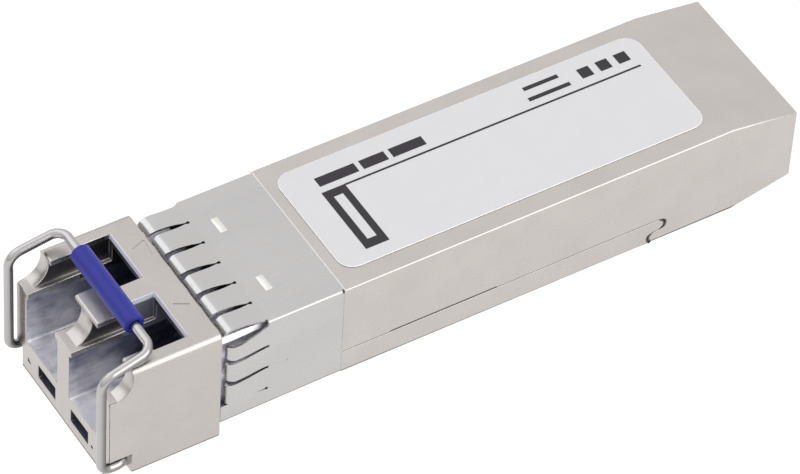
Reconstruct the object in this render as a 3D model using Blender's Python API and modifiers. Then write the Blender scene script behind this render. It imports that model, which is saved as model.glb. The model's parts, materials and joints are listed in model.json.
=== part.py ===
"""Small form-factor optical transceiver module: two LC ports, a wire bail and a rocking latch.

+X runs across the module, +Y towards its board edge and +Z up. The origin lies on the flat
underside, on the centre line, level with the joint between the finger collar and the top cover.
The numbers below are millimetres, and MM turns them into the scene's metres.
"""

import math

import bmesh
import bpy
from mathutils import Matrix, Vector

MM = 0.001
OBJECT_NAME = "optical_transceiver_module"
FIT_GAP = 0.06  # between two fixed pieces that touch on the real module

# Body: the part that slides into the cage
BODY_HALF = 6.7
BODY_TOP = 8.5
BODY_REAR = 38.77
ROOF_BEND_Y = 33.1
ROOF_REAR_Z = 7.63
FLOOR_BEND_Y = 33.7
FLOOR_REAR_Z = 1.15
WALL = 0.4
SEAM_Z = 2.05
FLOOR_THICK = 0.6
FLOOR_FRONT_Y = -3.5
FLOOR_REAR_Y = 28.4

# Hooked ends where the two covers interlock, at the rear of the side seam
HOOK_UPPER = (27.15, 1.49, 0.56)  # centre y, centre z, radius
HOOK_LOWER = (26.75, 0.45, 0.48)
HOOK_STEPS = 6

# Head: the die-cast nose with the ports
HEAD_HALF = 6.83
HEAD_FRONT = -19.05
HEAD_REAR = -10.05
HEAD_TOP = 9.2
HEAD_BOTTOM = -1.45
WALL_INNER = 0.83  # half thickness of the wall between the ports
BAY_OUTER = 5.43
BAY_FLOOR = 1.62
BAY_ROOF = 6.15
BAY_REAR = -8.6
SHELF_INNER = 1.16
SHELF_OUTER = 5.22
LEDGE_Z = 6.7
GROOVE_TOP = 8.2
HOOK_INNER = 1.6
HOOK_REAR = -14.8
NOTCH_CENTRE = (-19.0, 8.45)  # y, z of the round notch under the hooks
NOTCH_RADIUS = 1.85
WINDOW_OUTER = 5.59
WINDOW_REAR = -12.18
CHANNEL_REAR = -10.8  # the latch channels run on under the roof behind the windows
SLOT_INNER = 1.11
SLOT_OUTER = 3.68
SLOT_LOW = -0.54
SLOT_HIGH = 0.81
SLOT_REAR = -16.6
ARM_POCKET_X = 6.0
ARM_POCKET_TOP = 0.6
ARM_POCKET_REAR = -17.2

# Neck: the cradle behind the head, inside the collar
NECK_HALF = 6.1
NECK_BOTTOM = 0.5
NECK_TOP = 8.0
NECK_REAR = -0.6
NECK_STEP_Y = -3.7
NECK_STEP_Z = 0.72
NECK_CHAMFER = 0.7
BULKHEAD_REAR = -7.4
CRADLE_HALF = 5.7
CRADLE_FLOOR = 1.35

# Finger collar
SHEET = 0.2
COLLAR_REAR = -0.06
COLLAR_CORNER = 0.4
# y and how far the sheet stands out there: flat, then the fingers' crest, then their curl
COLLAR_PROFILE = (
    (COLLAR_REAR, 0.0), (-6.0, 0.0), (-7.3, 0.06), (-8.3, 0.17), (-8.9, 0.24),
    (-9.35, 0.2), (-9.65, 0.04), (-9.85, -0.18),
)
FINGER_PITCH = 2.22
FINGER_ROOT = -6.43
SIDE_ROOT = -6.2
SIDE_SLOTS_Z = (5.96, 3.77)
SHORT_SLOT_Z = 1.72
SHORT_SLOT_FRONT = -8.1
SLOT_WIDTH = 0.36
CORNER_SLOT = 0.8
LATCH_WINDOW_X = 2.4
LATCH_WINDOW_REAR = -4.2

# Label on the roof
LABEL_LOW = (-5.3, 0.95)
LABEL_HIGH = (5.15, 31.9)
LABEL_CORNER = 1.3
LABEL_THICK = 0.08

# Bail
PIVOT_Y = -17.65
PIVOT_Z = 0.1
WIRE_RADIUS = 0.36
PIVOT_CLEARANCE = 0.05
SHAFT_END = 4.3
LEG_X = 6.78
LEG_Y = -19.7
LEG_TOP = 9.53
CROSS_X = 6.55
CROSS_Y = -15.51
CROSS_Z = 10.48
BEND_RADIUS = 0.85
SLEEVE_HALF = 3.95
SLEEVE_RADIUS = 0.8
SLEEVE_BORE = 0.4

# Latch rocker under the ports
LATCH_PIN_Y = -11.2
LATCH_PIN_Z = 0.55
LATCH_PIN_RADIUS = 0.3
LATCH_PIN_HALF = 3.1
LATCH_HUB_RADIUS = 0.72
ROCKER_HALF = 1.3
ROCKER_THICK = 0.5
ROCKER_FRONT = -18.0
ROCKER_BAR_HALF = 4.9
ROCKER_BAR_DEPTH = 0.7
ROCKER_RIB = 0.04  # the bar and the hub stand proud of the strip by this much
ROCKER_LOW_Z = -0.9
ROCKER_HIGH_Z = 0.3
ROCKER_BEND_Y = (-14.4, -12.4)  # where the strip leaves its low level and reaches its high one
ROCKER_REAR = -4.7
ROCKER_PLAY = 0.25
BOSS_SHOULDER_Y = -6.23
BOSS_DEPTH = 0.35
BOSS_LOW_Z = -0.38
HUB_POCKET_FRONT = -14.6
HUB_POCKET_TOP = 1.36
SPRING_POCKET_TOP = 1.75
SPRING_THICK = 0.1
SPRING_HALF = 1.0

# Optical sub-assemblies
PORT_X = 3.125
PORT_Z = 3.87
NOSE_FRONT = -13.2
NOSE_RADIUS = 1.5
FLANGE_RADIUS = 2.3
CUP_RADIUS = 2.1
CUP_REAR = -2.6
SLEEVE_TUBE_RADIUS = 1.0
FERRULE_RADIUS = 0.625
STUB_FRONT = -9.4
STUB_REAR = -6.98
CAN_RADIUS = 1.65
HEADER_RADIUS = 2.3
HEADER_FRONT = -2.0
HEADER_REAR = -1.2

# Circuit board
BOARD_Z = 2.0
BOARD_THICK = 1.0
BOARD_FRONT = 0.3
BOARD_REAR = 35.57
BOARD_HALF = 5.9
TONGUE_HALF = 4.6
TONGUE_FRONT = 28.6
PAD_COUNT = 10
PAD_PITCH = 0.8
PAD_WIDTH = 0.5
PAD_LENGTH = 3.0
PAD_THICK = 0.05


def clear_scene():
    for old in list(bpy.data.objects):
        bpy.data.objects.remove(old, do_unlink=True)


def new_collection(name):
    collection = bpy.data.collections.new(name)
    bpy.context.scene.collection.children.link(collection)
    return collection


clear_scene()
PARTS = new_collection(OBJECT_NAME)
CUTTERS = new_collection("cutters")


def principled(name, color, roughness, metallic):
    material = bpy.data.materials.new(name)
    material.use_nodes = True
    shader = material.node_tree.nodes["Principled BSDF"]
    shader.inputs["Base Color"].default_value = (*color, 1.0)
    shader.inputs["Roughness"].default_value = roughness
    shader.inputs["Metallic"].default_value = metallic
    return material


CAST_NICKEL = principled("cast_nickel", (0.66, 0.64, 0.61), 0.38, 1.0)
SHEET_STEEL = principled("sheet_steel", (0.62, 0.62, 0.63), 0.32, 1.0)
WIRE_STEEL = principled("wire_steel", (0.62, 0.61, 0.60), 0.28, 1.0)
BLUE_PLASTIC = principled("blue_plastic", (0.045, 0.048, 0.31), 0.45, 0.0)
LABEL_FILM = principled("label_film", (0.78, 0.78, 0.81), 0.6, 0.0)
SPRING_STEEL = principled("spring_steel", (0.55, 0.55, 0.56), 0.35, 1.0)
STAINLESS = principled("stainless", (0.58, 0.58, 0.60), 0.3, 1.0)
CERAMIC = principled("ceramic", (0.85, 0.84, 0.80), 0.35, 0.0)
GOLD = principled("gold", (0.83, 0.58, 0.22), 0.25, 1.0)
BOARD_GREEN = principled("board_green", (0.03, 0.16, 0.06), 0.5, 0.0)
CHIP_BLACK = principled("chip_black", (0.02, 0.02, 0.022), 0.55, 0.0)
FLEX_AMBER = principled("flex_amber", (0.45, 0.20, 0.04), 0.4, 0.0)
CHIP_CERAMIC = principled("chip_ceramic", (0.42, 0.33, 0.24), 0.5, 0.0)
PAD_GREY = principled("pad_grey", (0.35, 0.42, 0.50), 0.8, 0.0)
GASKET_BLACK = principled("gasket_black", (0.04, 0.04, 0.045), 0.85, 0.0)


def add_object(name, mesh, material=None):
    """A piece when it has a material, and a hidden cutter when it has none."""
    obj = bpy.data.objects.new(name, mesh)
    if material:
        PARTS.objects.link(obj)
        mesh.materials.append(material)
    else:
        CUTTERS.objects.link(obj)
        obj.hide_render = True
        obj.display_type = "WIRE"
    return obj


def box(name, low, high, material=None):
    """A box from its lowest to its highest corner."""
    bm = bmesh.new()
    bmesh.ops.create_cube(bm, size=1.0)
    size = Vector(high) - Vector(low)
    middle = (Vector(high) + Vector(low)) / 2
    bmesh.ops.scale(bm, vec=size * MM, verts=bm.verts)
    bmesh.ops.translate(bm, vec=middle * MM, verts=bm.verts)
    mesh = bpy.data.meshes.new(name)
    bm.to_mesh(mesh)
    bm.free()
    return add_object(name, mesh, material)


AXIS_TURNS = {
    "X": Matrix.Rotation(math.pi / 2, 4, "Y"),
    "Y": Matrix.Rotation(-math.pi / 2, 4, "X"),
    "Z": Matrix.Identity(4),
}


def cone(name, radii, ends, centre, axis, material=None, sides=24, turn=0.0):
    """A cylinder or cone along an axis: ends are its places on the axis, centre the other two."""
    bm = bmesh.new()
    length = ends[1] - ends[0]
    bmesh.ops.create_cone(
        bm, cap_ends=True, segments=sides,
        radius1=radii[0] * MM, radius2=radii[1] * MM, depth=length * MM,
    )
    bmesh.ops.rotate(bm, matrix=Matrix.Rotation(turn, 3, "Z"), verts=bm.verts)
    middle = (ends[0] + ends[1]) / 2
    place = {
        "X": (middle, centre[0], centre[1]),
        "Y": (centre[0], middle, centre[1]),
        "Z": (centre[0], centre[1], middle),
    }[axis]
    bmesh.ops.transform(bm, matrix=AXIS_TURNS[axis], verts=bm.verts)
    bmesh.ops.translate(bm, vec=Vector(place) * MM, verts=bm.verts)
    mesh = bpy.data.meshes.new(name)
    bm.to_mesh(mesh)
    bm.free()
    mesh.shade_smooth()
    mesh.set_sharp_from_angle(angle=math.radians(40))
    return add_object(name, mesh, material)


def solid_from_curve(name, curve, turn, material):
    """The curve's evaluated solid as a mesh object, its caps welded to its sides."""
    guide = bpy.data.objects.new(name + "_guide", curve)
    CUTTERS.objects.link(guide)
    guide.matrix_world = turn
    bpy.context.view_layer.update()
    graph = bpy.context.evaluated_depsgraph_get()
    mesh = bpy.data.meshes.new_from_object(guide.evaluated_get(graph))
    mesh.name = name
    bpy.data.objects.remove(guide, do_unlink=True)
    bm = bmesh.new()
    bm.from_mesh(mesh)
    bmesh.ops.remove_doubles(bm, verts=bm.verts, dist=0.001 * MM)
    bmesh.ops.recalc_face_normals(bm, faces=bm.faces)
    bmesh.ops.transform(bm, matrix=turn, verts=bm.verts)
    bm.to_mesh(mesh)
    bm.free()
    mesh.materials.clear()
    return add_object(name, mesh, material)


# The outline's own x and y become Y and Z for "X", X and Z for "Y", and X and Y for "Z".
OUTLINE_TURNS = {
    "X": Matrix(((0, 0, 1, 0), (1, 0, 0, 0), (0, 1, 0, 0), (0, 0, 0, 1))),
    "Y": Matrix.Rotation(math.pi / 2, 4, "X"),
    "Z": Matrix.Identity(4),
}
AXES = {"X": Vector((1, 0, 0)), "Y": Vector((0, 1, 0)), "Z": Vector((0, 0, 1))}


def plate(name, outline, low, high, axis, material=None):
    """A flat outline made solid from low to high along the axis."""
    curve = bpy.data.curves.new(name + "_outline", "CURVE")
    curve.dimensions = "2D"
    curve.fill_mode = "BOTH"
    curve.extrude = (high - low) / 2 * MM
    spline = curve.splines.new("POLY")
    spline.points.add(len(outline) - 1)
    for point, (u, v) in zip(spline.points, outline):
        point.co = (u * MM, v * MM, 0.0, 1.0)
    spline.use_cyclic_u = True
    place = Matrix.Translation(AXES[axis] * ((low + high) / 2 * MM))
    return solid_from_curve(name, curve, place @ OUTLINE_TURNS[axis], material)


def round_wire(name, path, radius, material):
    curve = bpy.data.curves.new(name + "_path", "CURVE")
    curve.dimensions = "3D"
    curve.bevel_depth = radius * MM
    curve.bevel_resolution = 2
    curve.use_fill_caps = True
    spline = curve.splines.new("POLY")
    spline.points.add(len(path) - 1)
    for point, place in zip(spline.points, path):
        point.co = (*(Vector(place) * MM), 1.0)
    wire = solid_from_curve(name, curve, Matrix.Identity(4), material)
    wire.data.shade_smooth()
    wire.data.set_sharp_from_angle(angle=math.radians(50))
    return wire


def turned(name, profile, x, z, material, steps=24):
    """A profile of (radius, y) turned about a line along Y. It runs down from the front."""
    mesh = bpy.data.meshes.new(name)
    points = [(radius * MM, 0.0, y * MM) for radius, y in profile]
    closed = profile[0][0] > 0
    edges = [(i, i + 1) for i in range(len(points) - 1)]
    if closed:
        edges.append((len(points) - 1, 0))
    mesh.from_pydata(points, edges, [])
    obj = add_object(name, mesh, material)
    obj.location = (x * MM, 0.0, z * MM)
    obj.rotation_euler = (-math.pi / 2, 0.0, 0.0)
    screw = obj.modifiers.new("turn", "SCREW")
    screw.steps = steps
    screw.render_steps = steps
    screw.use_merge_vertices = True
    screw.merge_threshold = 0.001 * MM
    screw.use_smooth_shade = True
    return obj


def boolean(target, others, operation):
    for other in others:
        modifier = target.modifiers.new(other.name, "BOOLEAN")
        modifier.operation = operation
        modifier.object = other
    return target


def cut(target, *cutters):
    return boolean(target, cutters, "DIFFERENCE")


def join(target, *others):
    return boolean(target, others, "UNION")


def arc(centre_u, centre_v, radius, start_deg, end_deg, steps):
    """Points along a circular arc, both ends included."""
    points = []
    for step in range(steps + 1):
        angle = math.radians(start_deg + (end_deg - start_deg) * step / steps)
        points.append((centre_u + radius * math.cos(angle), centre_v + radius * math.sin(angle)))
    return points


def rounded_rectangle(low, high, radius, steps):
    """Counter-clockwise outline of a rectangle with round corners."""
    corners = (
        (high[0] - radius, high[1] - radius, 0),
        (low[0] + radius, high[1] - radius, 90),
        (low[0] + radius, low[1] + radius, 180),
        (high[0] - radius, low[1] + radius, 270),
    )
    outline = []
    for u, v, start in corners:
        outline += arc(u, v, radius, start, start + 90, steps)
    return outline


def rounded_path(corners, radius, steps):
    """A path through the corners with each inner corner replaced by an arc of that radius."""
    points = [Vector(corners[0])]
    for before, corner, after in zip(corners, corners[1:], corners[2:]):
        here = Vector(corner)
        back = (Vector(before) - here).normalized()
        ahead = (Vector(after) - here).normalized()
        half = back.angle(ahead) / 2
        bisector = (back + ahead).normalized()
        centre = here + bisector * (radius / math.sin(half))
        start = (here + back * (radius / math.tan(half)) - centre).normalized()
        end = (here + ahead * (radius / math.tan(half)) - centre).normalized()
        for step in range(steps + 1):
            points.append(centre + start.slerp(end, step / steps) * radius)
    points.append(Vector(corners[-1]))
    return points


def both_sides(name, low, high):
    """Two mirrored boxes, given the one on the +X side."""
    right = box(name + "_right", low, high)
    left = box(name + "_left", (-high[0], low[1], low[2]), (-low[0], high[1], high[2]))
    return right, left


# ---- Head and cradle -------------------------------------------------------------------

def notch_cutter(front):
    """The round notch between the ledges and the hooks, across the full width, up to their noses."""
    centre_y, centre_z = NOTCH_CENTRE
    over = HEAD_TOP + 0.5
    low_deg = -math.degrees(math.asin((centre_z - LEDGE_Z) / NOTCH_RADIUS))
    nose_deg = math.degrees(math.asin((HEAD_TOP - centre_z) / NOTCH_RADIUS))
    outline = [(front, LEDGE_Z)]
    outline += arc(centre_y, centre_z, NOTCH_RADIUS, low_deg, nose_deg, 12)
    outline += [(outline[-1][0], over), (front, over)]
    return plate("notch_cutter", outline, -HEAD_HALF - 1, HEAD_HALF + 1, "X")


def bay_cutters(front):
    """The ports, their latch channels, lug grooves and windows."""
    rows = (
        ("bay", WALL_INNER, BAY_OUTER, front, BAY_REAR, BAY_FLOOR, BAY_ROOF),
        ("channel", SHELF_INNER, SHELF_OUTER, front, CHANNEL_REAR, BAY_ROOF - 0.1, GROOVE_TOP),
        ("groove", WALL_INNER, WINDOW_OUTER, front, WINDOW_REAR, LEDGE_Z - 0.1, GROOVE_TOP),
        ("gate", HOOK_INNER, SHELF_OUTER, front, HOOK_REAR, LEDGE_Z, HEAD_TOP + 1),
        ("window", WALL_INNER, WINDOW_OUTER, HOOK_REAR - 0.1, WINDOW_REAR, LEDGE_Z, HEAD_TOP + 1),
    )
    cutters = []
    for name, x_in, x_out, y_front, y_rear, z_low, z_high in rows:
        cutters += both_sides(name + "_cutter", (x_in, y_front, z_low), (x_out, y_rear, z_high))
    return cutters


def rocker_cutters():
    """Room for the rocker: its bar and beam under the ports, its hub and its rear arm."""
    side = ROCKER_HALF + ROCKER_PLAY
    bar_side = ROCKER_BAR_HALF + ROCKER_PLAY
    bar_front = ROCKER_FRONT - ROCKER_PLAY
    bar_rear = ROCKER_FRONT + ROCKER_BAR_DEPTH + ROCKER_PLAY
    beam_top = ROCKER_LOW_Z + ROCKER_THICK + ROCKER_PLAY
    rows = (
        ("bar", bar_side, bar_front, bar_rear, beam_top),
        ("beam", side, ROCKER_FRONT, HUB_POCKET_FRONT + 0.1, beam_top),
        ("hub", side, HUB_POCKET_FRONT, BAY_REAR + 0.1, HUB_POCKET_TOP),
        ("arm", side, BAY_REAR, ROCKER_REAR + ROCKER_PLAY, SPRING_POCKET_TOP),
    )
    cutters = []
    for name, half, front, rear, top in rows:
        low = (-half, front, HEAD_BOTTOM - 1)
        cutters.append(box(f"rocker_{name}_cutter", low, (half, rear, top)))
    return cutters


def pivot_hole_cutters():
    hole = WIRE_RADIUS + PIVOT_CLEARANCE
    centre = (PIVOT_Y, PIVOT_Z)
    pin_hole = LATCH_PIN_RADIUS + FIT_GAP / 2
    ends = (-LATCH_PIN_HALF - 0.1, LATCH_PIN_HALF + 0.1)
    return (
        cone("bail_hole_right", (hole, hole), (SHAFT_END - 0.15, HEAD_HALF), centre, "X"),
        cone("bail_hole_left", (hole, hole), (-HEAD_HALF, -SHAFT_END + 0.15), centre, "X"),
        cone("pin_hole", (pin_hole, pin_hole), ends, (LATCH_PIN_Y, LATCH_PIN_Z), "X", sides=16),
    )


def neck():
    """The neck's bar, rooted in the head, its upper corners chamfered."""
    side, slope = NECK_HALF, NECK_HALF - NECK_CHAMFER
    shoulder = NECK_TOP - NECK_CHAMFER
    outline = [
        (-side, NECK_BOTTOM), (side, NECK_BOTTOM), (side, shoulder),
        (slope, NECK_TOP), (-slope, NECK_TOP), (-side, shoulder),
    ]
    return plate("neck_bar", outline, HEAD_REAR - 0.5, NECK_REAR, "Y")


def cradle_cutters():
    """The open cradle behind the bulkhead, the two barrel holes and the step under the neck."""
    hole = NOSE_RADIUS + FIT_GAP
    ends = (BAY_REAR - 0.5, BULKHEAD_REAR + 0.5)
    return (
        box(
            "cradle_cutter", (-CRADLE_HALF, BULKHEAD_REAR, CRADLE_FLOOR),
            (CRADLE_HALF, NECK_REAR + 1, NECK_TOP + 1),
        ),
        cone("barrel_hole_right", (hole, hole), ends, (PORT_X, PORT_Z), "Y"),
        cone("barrel_hole_left", (hole, hole), ends, (-PORT_X, PORT_Z), "Y"),
        box(
            "neck_step_cutter", (-NECK_HALF - 1, NECK_STEP_Y, NECK_BOTTOM - 1),
            (NECK_HALF + 1, NECK_REAR + 1, NECK_STEP_Z),
        ),
    )


def make_nose_housing():
    housing = box(
        "nose_housing", (-HEAD_HALF, HEAD_FRONT, HEAD_BOTTOM),
        (HEAD_HALF, HEAD_REAR, HEAD_TOP), CAST_NICKEL,
    )
    front = HEAD_FRONT - 1
    join(housing, neck())
    cut(housing, notch_cutter(front))
    cut(housing, *bay_cutters(front))
    cut(housing, *both_sides(
        "sill_slot_cutter", (SLOT_INNER, front, SLOT_LOW), (SLOT_OUTER, SLOT_REAR, SLOT_HIGH),
    ))
    cut(housing, *both_sides(
        "arm_pocket_cutter", (ARM_POCKET_X, front, HEAD_BOTTOM - 1),
        (HEAD_HALF + 1, ARM_POCKET_REAR, ARM_POCKET_TOP),
    ))
    cut(housing, *cradle_cutters())
    cut(housing, *rocker_cutters())
    cut(housing, *pivot_hole_cutters())
    return housing


# ---- Finger collar ---------------------------------------------------------------------

def collar_skin():
    """The collar's outer skin: one ring of points for each row of its profile."""
    bm = bmesh.new()
    rings = []
    for y, out in COLLAR_PROFILE:
        low = (-BODY_HALF - out, -out)
        high = (BODY_HALF + out, BODY_TOP + out)
        outline = rounded_rectangle(low, high, COLLAR_CORNER, 3)
        rings.append([bm.verts.new(Vector((x, y, z)) * MM) for x, z in outline])
    for ring, following in zip(rings, rings[1:]):
        count = len(ring)
        for i in range(count):
            j = (i + 1) % count
            bm.faces.new((ring[i], ring[j], following[j], following[i]))
    bmesh.ops.recalc_face_normals(bm, faces=bm.faces)
    mesh = bpy.data.meshes.new("emi_collar")
    bm.to_mesh(mesh)
    bm.free()
    return mesh


def finger_slot(name, centre, root, across, width=SLOT_WIDTH, front=HEAD_REAR - 1):
    """A slot from the front to its round root. Across says which way it is cut through."""
    half = width / 2
    if across == "Z":
        x, z = centre
        slot = box(name, (x - half, front, z - 1), (x + half, root, z + 1))
        hole = cone(name + "_root", (half + 0.04,) * 2, (z - 1, z + 1), (x, root), "Z", sides=12)
    else:
        x, z = centre
        slot = box(name, (x - 1, front, z - half), (x + 1, root, z + half))
        hole = cone(name + "_root", (half + 0.04,) * 2, (x - 1, x + 1), (root, z), "X", sides=12)
    return slot, hole


def corner_slot(name, x, z):
    """A wedge that opens the collar's corner towards the front."""
    return cone(
        name, (CORNER_SLOT * 1.3, 0.12), (HEAD_REAR - 1, SIDE_ROOT), (x, z), "Y", sides=8,
        turn=math.radians(22.5),
    )


def make_emi_collar():
    collar = add_object("emi_collar", collar_skin(), SHEET_STEEL)
    thicken = collar.modifiers.new("sheet", "SOLIDIFY")
    thicken.thickness = SHEET * MM
    thicken.offset = -1.0
    thicken.use_even_offset = True
    for column in range(-2, 3):
        x = column * FINGER_PITCH
        cut(collar, *finger_slot(f"top_slot_{column + 2}", (x, BODY_TOP), FINGER_ROOT, "Z"))
        if abs(column) == 2:
            cut(collar, *finger_slot(f"bottom_slot_{column + 2}", (x, 0.0), FINGER_ROOT, "Z"))
    for side in (-1, 1):
        for row, z in enumerate(SIDE_SLOTS_Z):
            name = f"side_slot_{side}_{row}"
            cut(collar, *finger_slot(name, (side * BODY_HALF, z), SIDE_ROOT, "X"))
        cut(collar, *finger_slot(
            f"short_slot_{side}", (side * BODY_HALF, SHORT_SLOT_Z), SIDE_ROOT, "X",
            width=0.16, front=SHORT_SLOT_FRONT,
        ))
        corner_x = side * (BODY_HALF - 0.1)
        cut(collar, corner_slot(f"upper_corner_slot_{side}", corner_x, BODY_TOP - 0.1))
        cut(collar, corner_slot(f"lower_corner_slot_{side}", corner_x, 0.1))
    cut(collar, box(
        "latch_window_cutter", (-LATCH_WINDOW_X, HEAD_REAR - 1, -1),
        (LATCH_WINDOW_X, LATCH_WINDOW_REAR, 1),
    ))
    cut(collar, box(
        "collar_floor_cutter", (-BODY_HALF + 0.45, FLOOR_FRONT_Y - FIT_GAP, -1),
        (BODY_HALF - 0.45, 1, 1),
    ))
    return collar


# ---- Covers and label ------------------------------------------------------------------

def hook_line(offset):
    """The hooked rear end of the side seam, from above down, moved rearwards by offset."""
    upper_y, upper_z, upper_r = HOOK_UPPER
    lower_y, lower_z, lower_r = HOOK_LOWER
    line = arc(upper_y, upper_z, upper_r + offset, 90, -90, HOOK_STEPS)
    line += arc(lower_y, lower_z, lower_r - offset, 90, 270, HOOK_STEPS)
    return line


def make_top_cover():
    """Roof and side walls, with the hooked break where the lower shell ends."""
    gap = FIT_GAP / 2
    outline = [(0.0, SEAM_Z + gap), (0.0, BODY_TOP), (ROOF_BEND_Y, BODY_TOP)]
    outline += [(BODY_REAR, ROOF_REAR_Z), (BODY_REAR, FLOOR_REAR_Z), (FLOOR_BEND_Y, 0.0)]
    outline += [(u, max(v, 0.0)) for u, v in reversed(hook_line(gap))]
    cover = plate("top_cover", outline, -BODY_HALF, BODY_HALF, "X", CAST_NICKEL)
    slope = (BODY_TOP - ROOF_REAR_Z) / (BODY_REAR - ROOF_BEND_Y)
    drop = WALL / math.cos(math.atan(slope))
    past_rear = BODY_REAR + 1
    room = [
        (-1.0, -1.0), (past_rear, -1.0), (past_rear, ROOF_REAR_Z - drop - slope),
        (ROOF_BEND_Y, BODY_TOP - drop), (-1.0, BODY_TOP - WALL),
    ]
    inner = BODY_HALF - WALL
    return cut(cover, plate("cover_room_cutter", room, -inner, inner, "X"))


def make_bottom_cover():
    """Floor and low side walls. Its floor runs on under the collar and behind the hooks."""
    gap = FIT_GAP / 2
    outline = [(0.0, 0.0)]
    outline += [(u, max(v, 0.0)) for u, v in reversed(hook_line(-gap))]
    outline += [(0.0, SEAM_Z - gap)]
    cover = plate("bottom_cover", outline, -BODY_HALF, BODY_HALF, "X", CAST_NICKEL)
    inner = BODY_HALF - WALL
    room = box("pan_room_cutter", (-inner, -1, FLOOR_THICK), (inner, BODY_REAR, BODY_TOP))
    cut(cover, room)
    reach = inner - FIT_GAP
    tray = box("pan_floor", (-reach, FLOOR_FRONT_Y, 0), (reach, FLOOR_REAR_Y, FLOOR_THICK))
    return join(cover, tray)


def make_label():
    outline = rounded_rectangle(LABEL_LOW, LABEL_HIGH, LABEL_CORNER, 6)
    low = BODY_TOP + 0.01
    return plate("label", outline, low, low + LABEL_THICK, "Z", LABEL_FILM)


# ---- Bail ------------------------------------------------------------------------------

def hinge_empty(name, y, z):
    """The empty on a joint's axis that carries the pieces which turn about it."""
    empty = bpy.data.objects.new(name, None)
    PARTS.objects.link(empty)
    empty.location = (0.0, y * MM, z * MM)
    return empty


def carry(empty, *pieces):
    """Parents each piece to the empty and leaves it where it is."""
    for piece in pieces:
        piece.parent = empty
        piece.matrix_parent_inverse = Matrix.Translation(empty.location).inverted()


def make_bail():
    half = [
        (SHAFT_END, PIVOT_Y, PIVOT_Z), (LEG_X, PIVOT_Y, PIVOT_Z), (LEG_X, LEG_Y, PIVOT_Z),
        (LEG_X, LEG_Y, LEG_TOP), (CROSS_X, CROSS_Y, CROSS_Z),
    ]
    corners = half + [(-x, y, z) for x, y, z in reversed(half)]
    wire = round_wire("bail_wire", rounded_path(corners, BEND_RADIUS, 4), WIRE_RADIUS, WIRE_STEEL)
    sleeve = turned_sleeve()
    carry(hinge_empty("bail_hinge_axis", PIVOT_Y, PIVOT_Z), wire, sleeve)
    return wire, sleeve


def turned_sleeve():
    """The plastic tube on the bail's cross-piece, its ends rounded."""
    sleeve = cone(
        "bail_sleeve", (SLEEVE_RADIUS,) * 2, (-SLEEVE_HALF, SLEEVE_HALF), (CROSS_Y, CROSS_Z), "X",
        BLUE_PLASTIC, sides=20,
    )
    bore = cone(
        "sleeve_bore_cutter", (SLEEVE_BORE,) * 2, (-SLEEVE_HALF - 1, SLEEVE_HALF + 1),
        (CROSS_Y, CROSS_Z), "X", sides=16,
    )
    return cut(sleeve, bore)


# ---- Latch -----------------------------------------------------------------------------

def make_latch_rocker():
    low, high, thick = ROCKER_LOW_Z, ROCKER_HIGH_Z, ROCKER_THICK
    bend, level = ROCKER_BEND_Y
    boss_rear = BOSS_SHOULDER_Y + BOSS_DEPTH
    outline = [
        (ROCKER_FRONT, low), (bend, low), (level, high), (BOSS_SHOULDER_Y, high),
        (BOSS_SHOULDER_Y, BOSS_LOW_Z), (boss_rear, BOSS_LOW_Z), (ROCKER_REAR, high + 0.06),
        (ROCKER_REAR, high + thick), (level - 0.3, high + thick), (bend - 0.3, low + thick),
        (ROCKER_FRONT, low + thick),
    ]
    rocker = plate("latch_rocker", outline, -ROCKER_HALF, ROCKER_HALF, "X", SPRING_STEEL)
    bar = box(
        "rocker_bar", (-ROCKER_BAR_HALF, ROCKER_FRONT - ROCKER_RIB, low - ROCKER_RIB),
        (ROCKER_BAR_HALF, ROCKER_FRONT + ROCKER_BAR_DEPTH, low + thick + ROCKER_RIB),
    )
    centre = (LATCH_PIN_Y, LATCH_PIN_Z)
    ends = (-ROCKER_HALF - ROCKER_RIB, ROCKER_HALF + ROCKER_RIB)
    hub = cone("rocker_hub", (LATCH_HUB_RADIUS,) * 2, ends, centre, "X", sides=20)
    bore_radius = LATCH_PIN_RADIUS + PIVOT_CLEARANCE
    bore = cone("rocker_bore", (bore_radius,) * 2, (-3, 3), centre, "X", sides=16)
    join(rocker, bar, hub)
    cut(rocker, bore)
    carry(hinge_empty("latch_pivot_axis", LATCH_PIN_Y, LATCH_PIN_Z), rocker)
    return rocker


def make_latch_pin():
    ends = (-LATCH_PIN_HALF, LATCH_PIN_HALF)
    centre = (LATCH_PIN_Y, LATCH_PIN_Z)
    return cone("latch_pivot_pin", (LATCH_PIN_RADIUS,) * 2, ends, centre, "X", STAINLESS, sides=16)


def make_latch_spring():
    """A leaf that bears on the rocker's rear arm and hangs from the pocket's ceiling."""
    thick = SPRING_THICK
    roof = SPRING_POCKET_TOP - FIT_GAP
    rest = ROCKER_HIGH_Z + ROCKER_THICK + FIT_GAP
    front, bend = BAY_REAR + 0.3, BULKHEAD_REAR - 0.1
    touch, tip = BOSS_SHOULDER_Y + 0.6, BOSS_SHOULDER_Y + 1.2
    outline = [
        (front, roof), (front, roof - thick), (bend, roof - thick), (touch, rest),
        (tip, rest + 0.1), (tip, rest + 0.1 + thick), (touch, rest + thick), (bend + 0.1, roof),
    ]
    return plate("latch_spring", outline, -SPRING_HALF, SPRING_HALF, "X", SPRING_STEEL)


# ---- Optical sub-assemblies ------------------------------------------------------------

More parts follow.
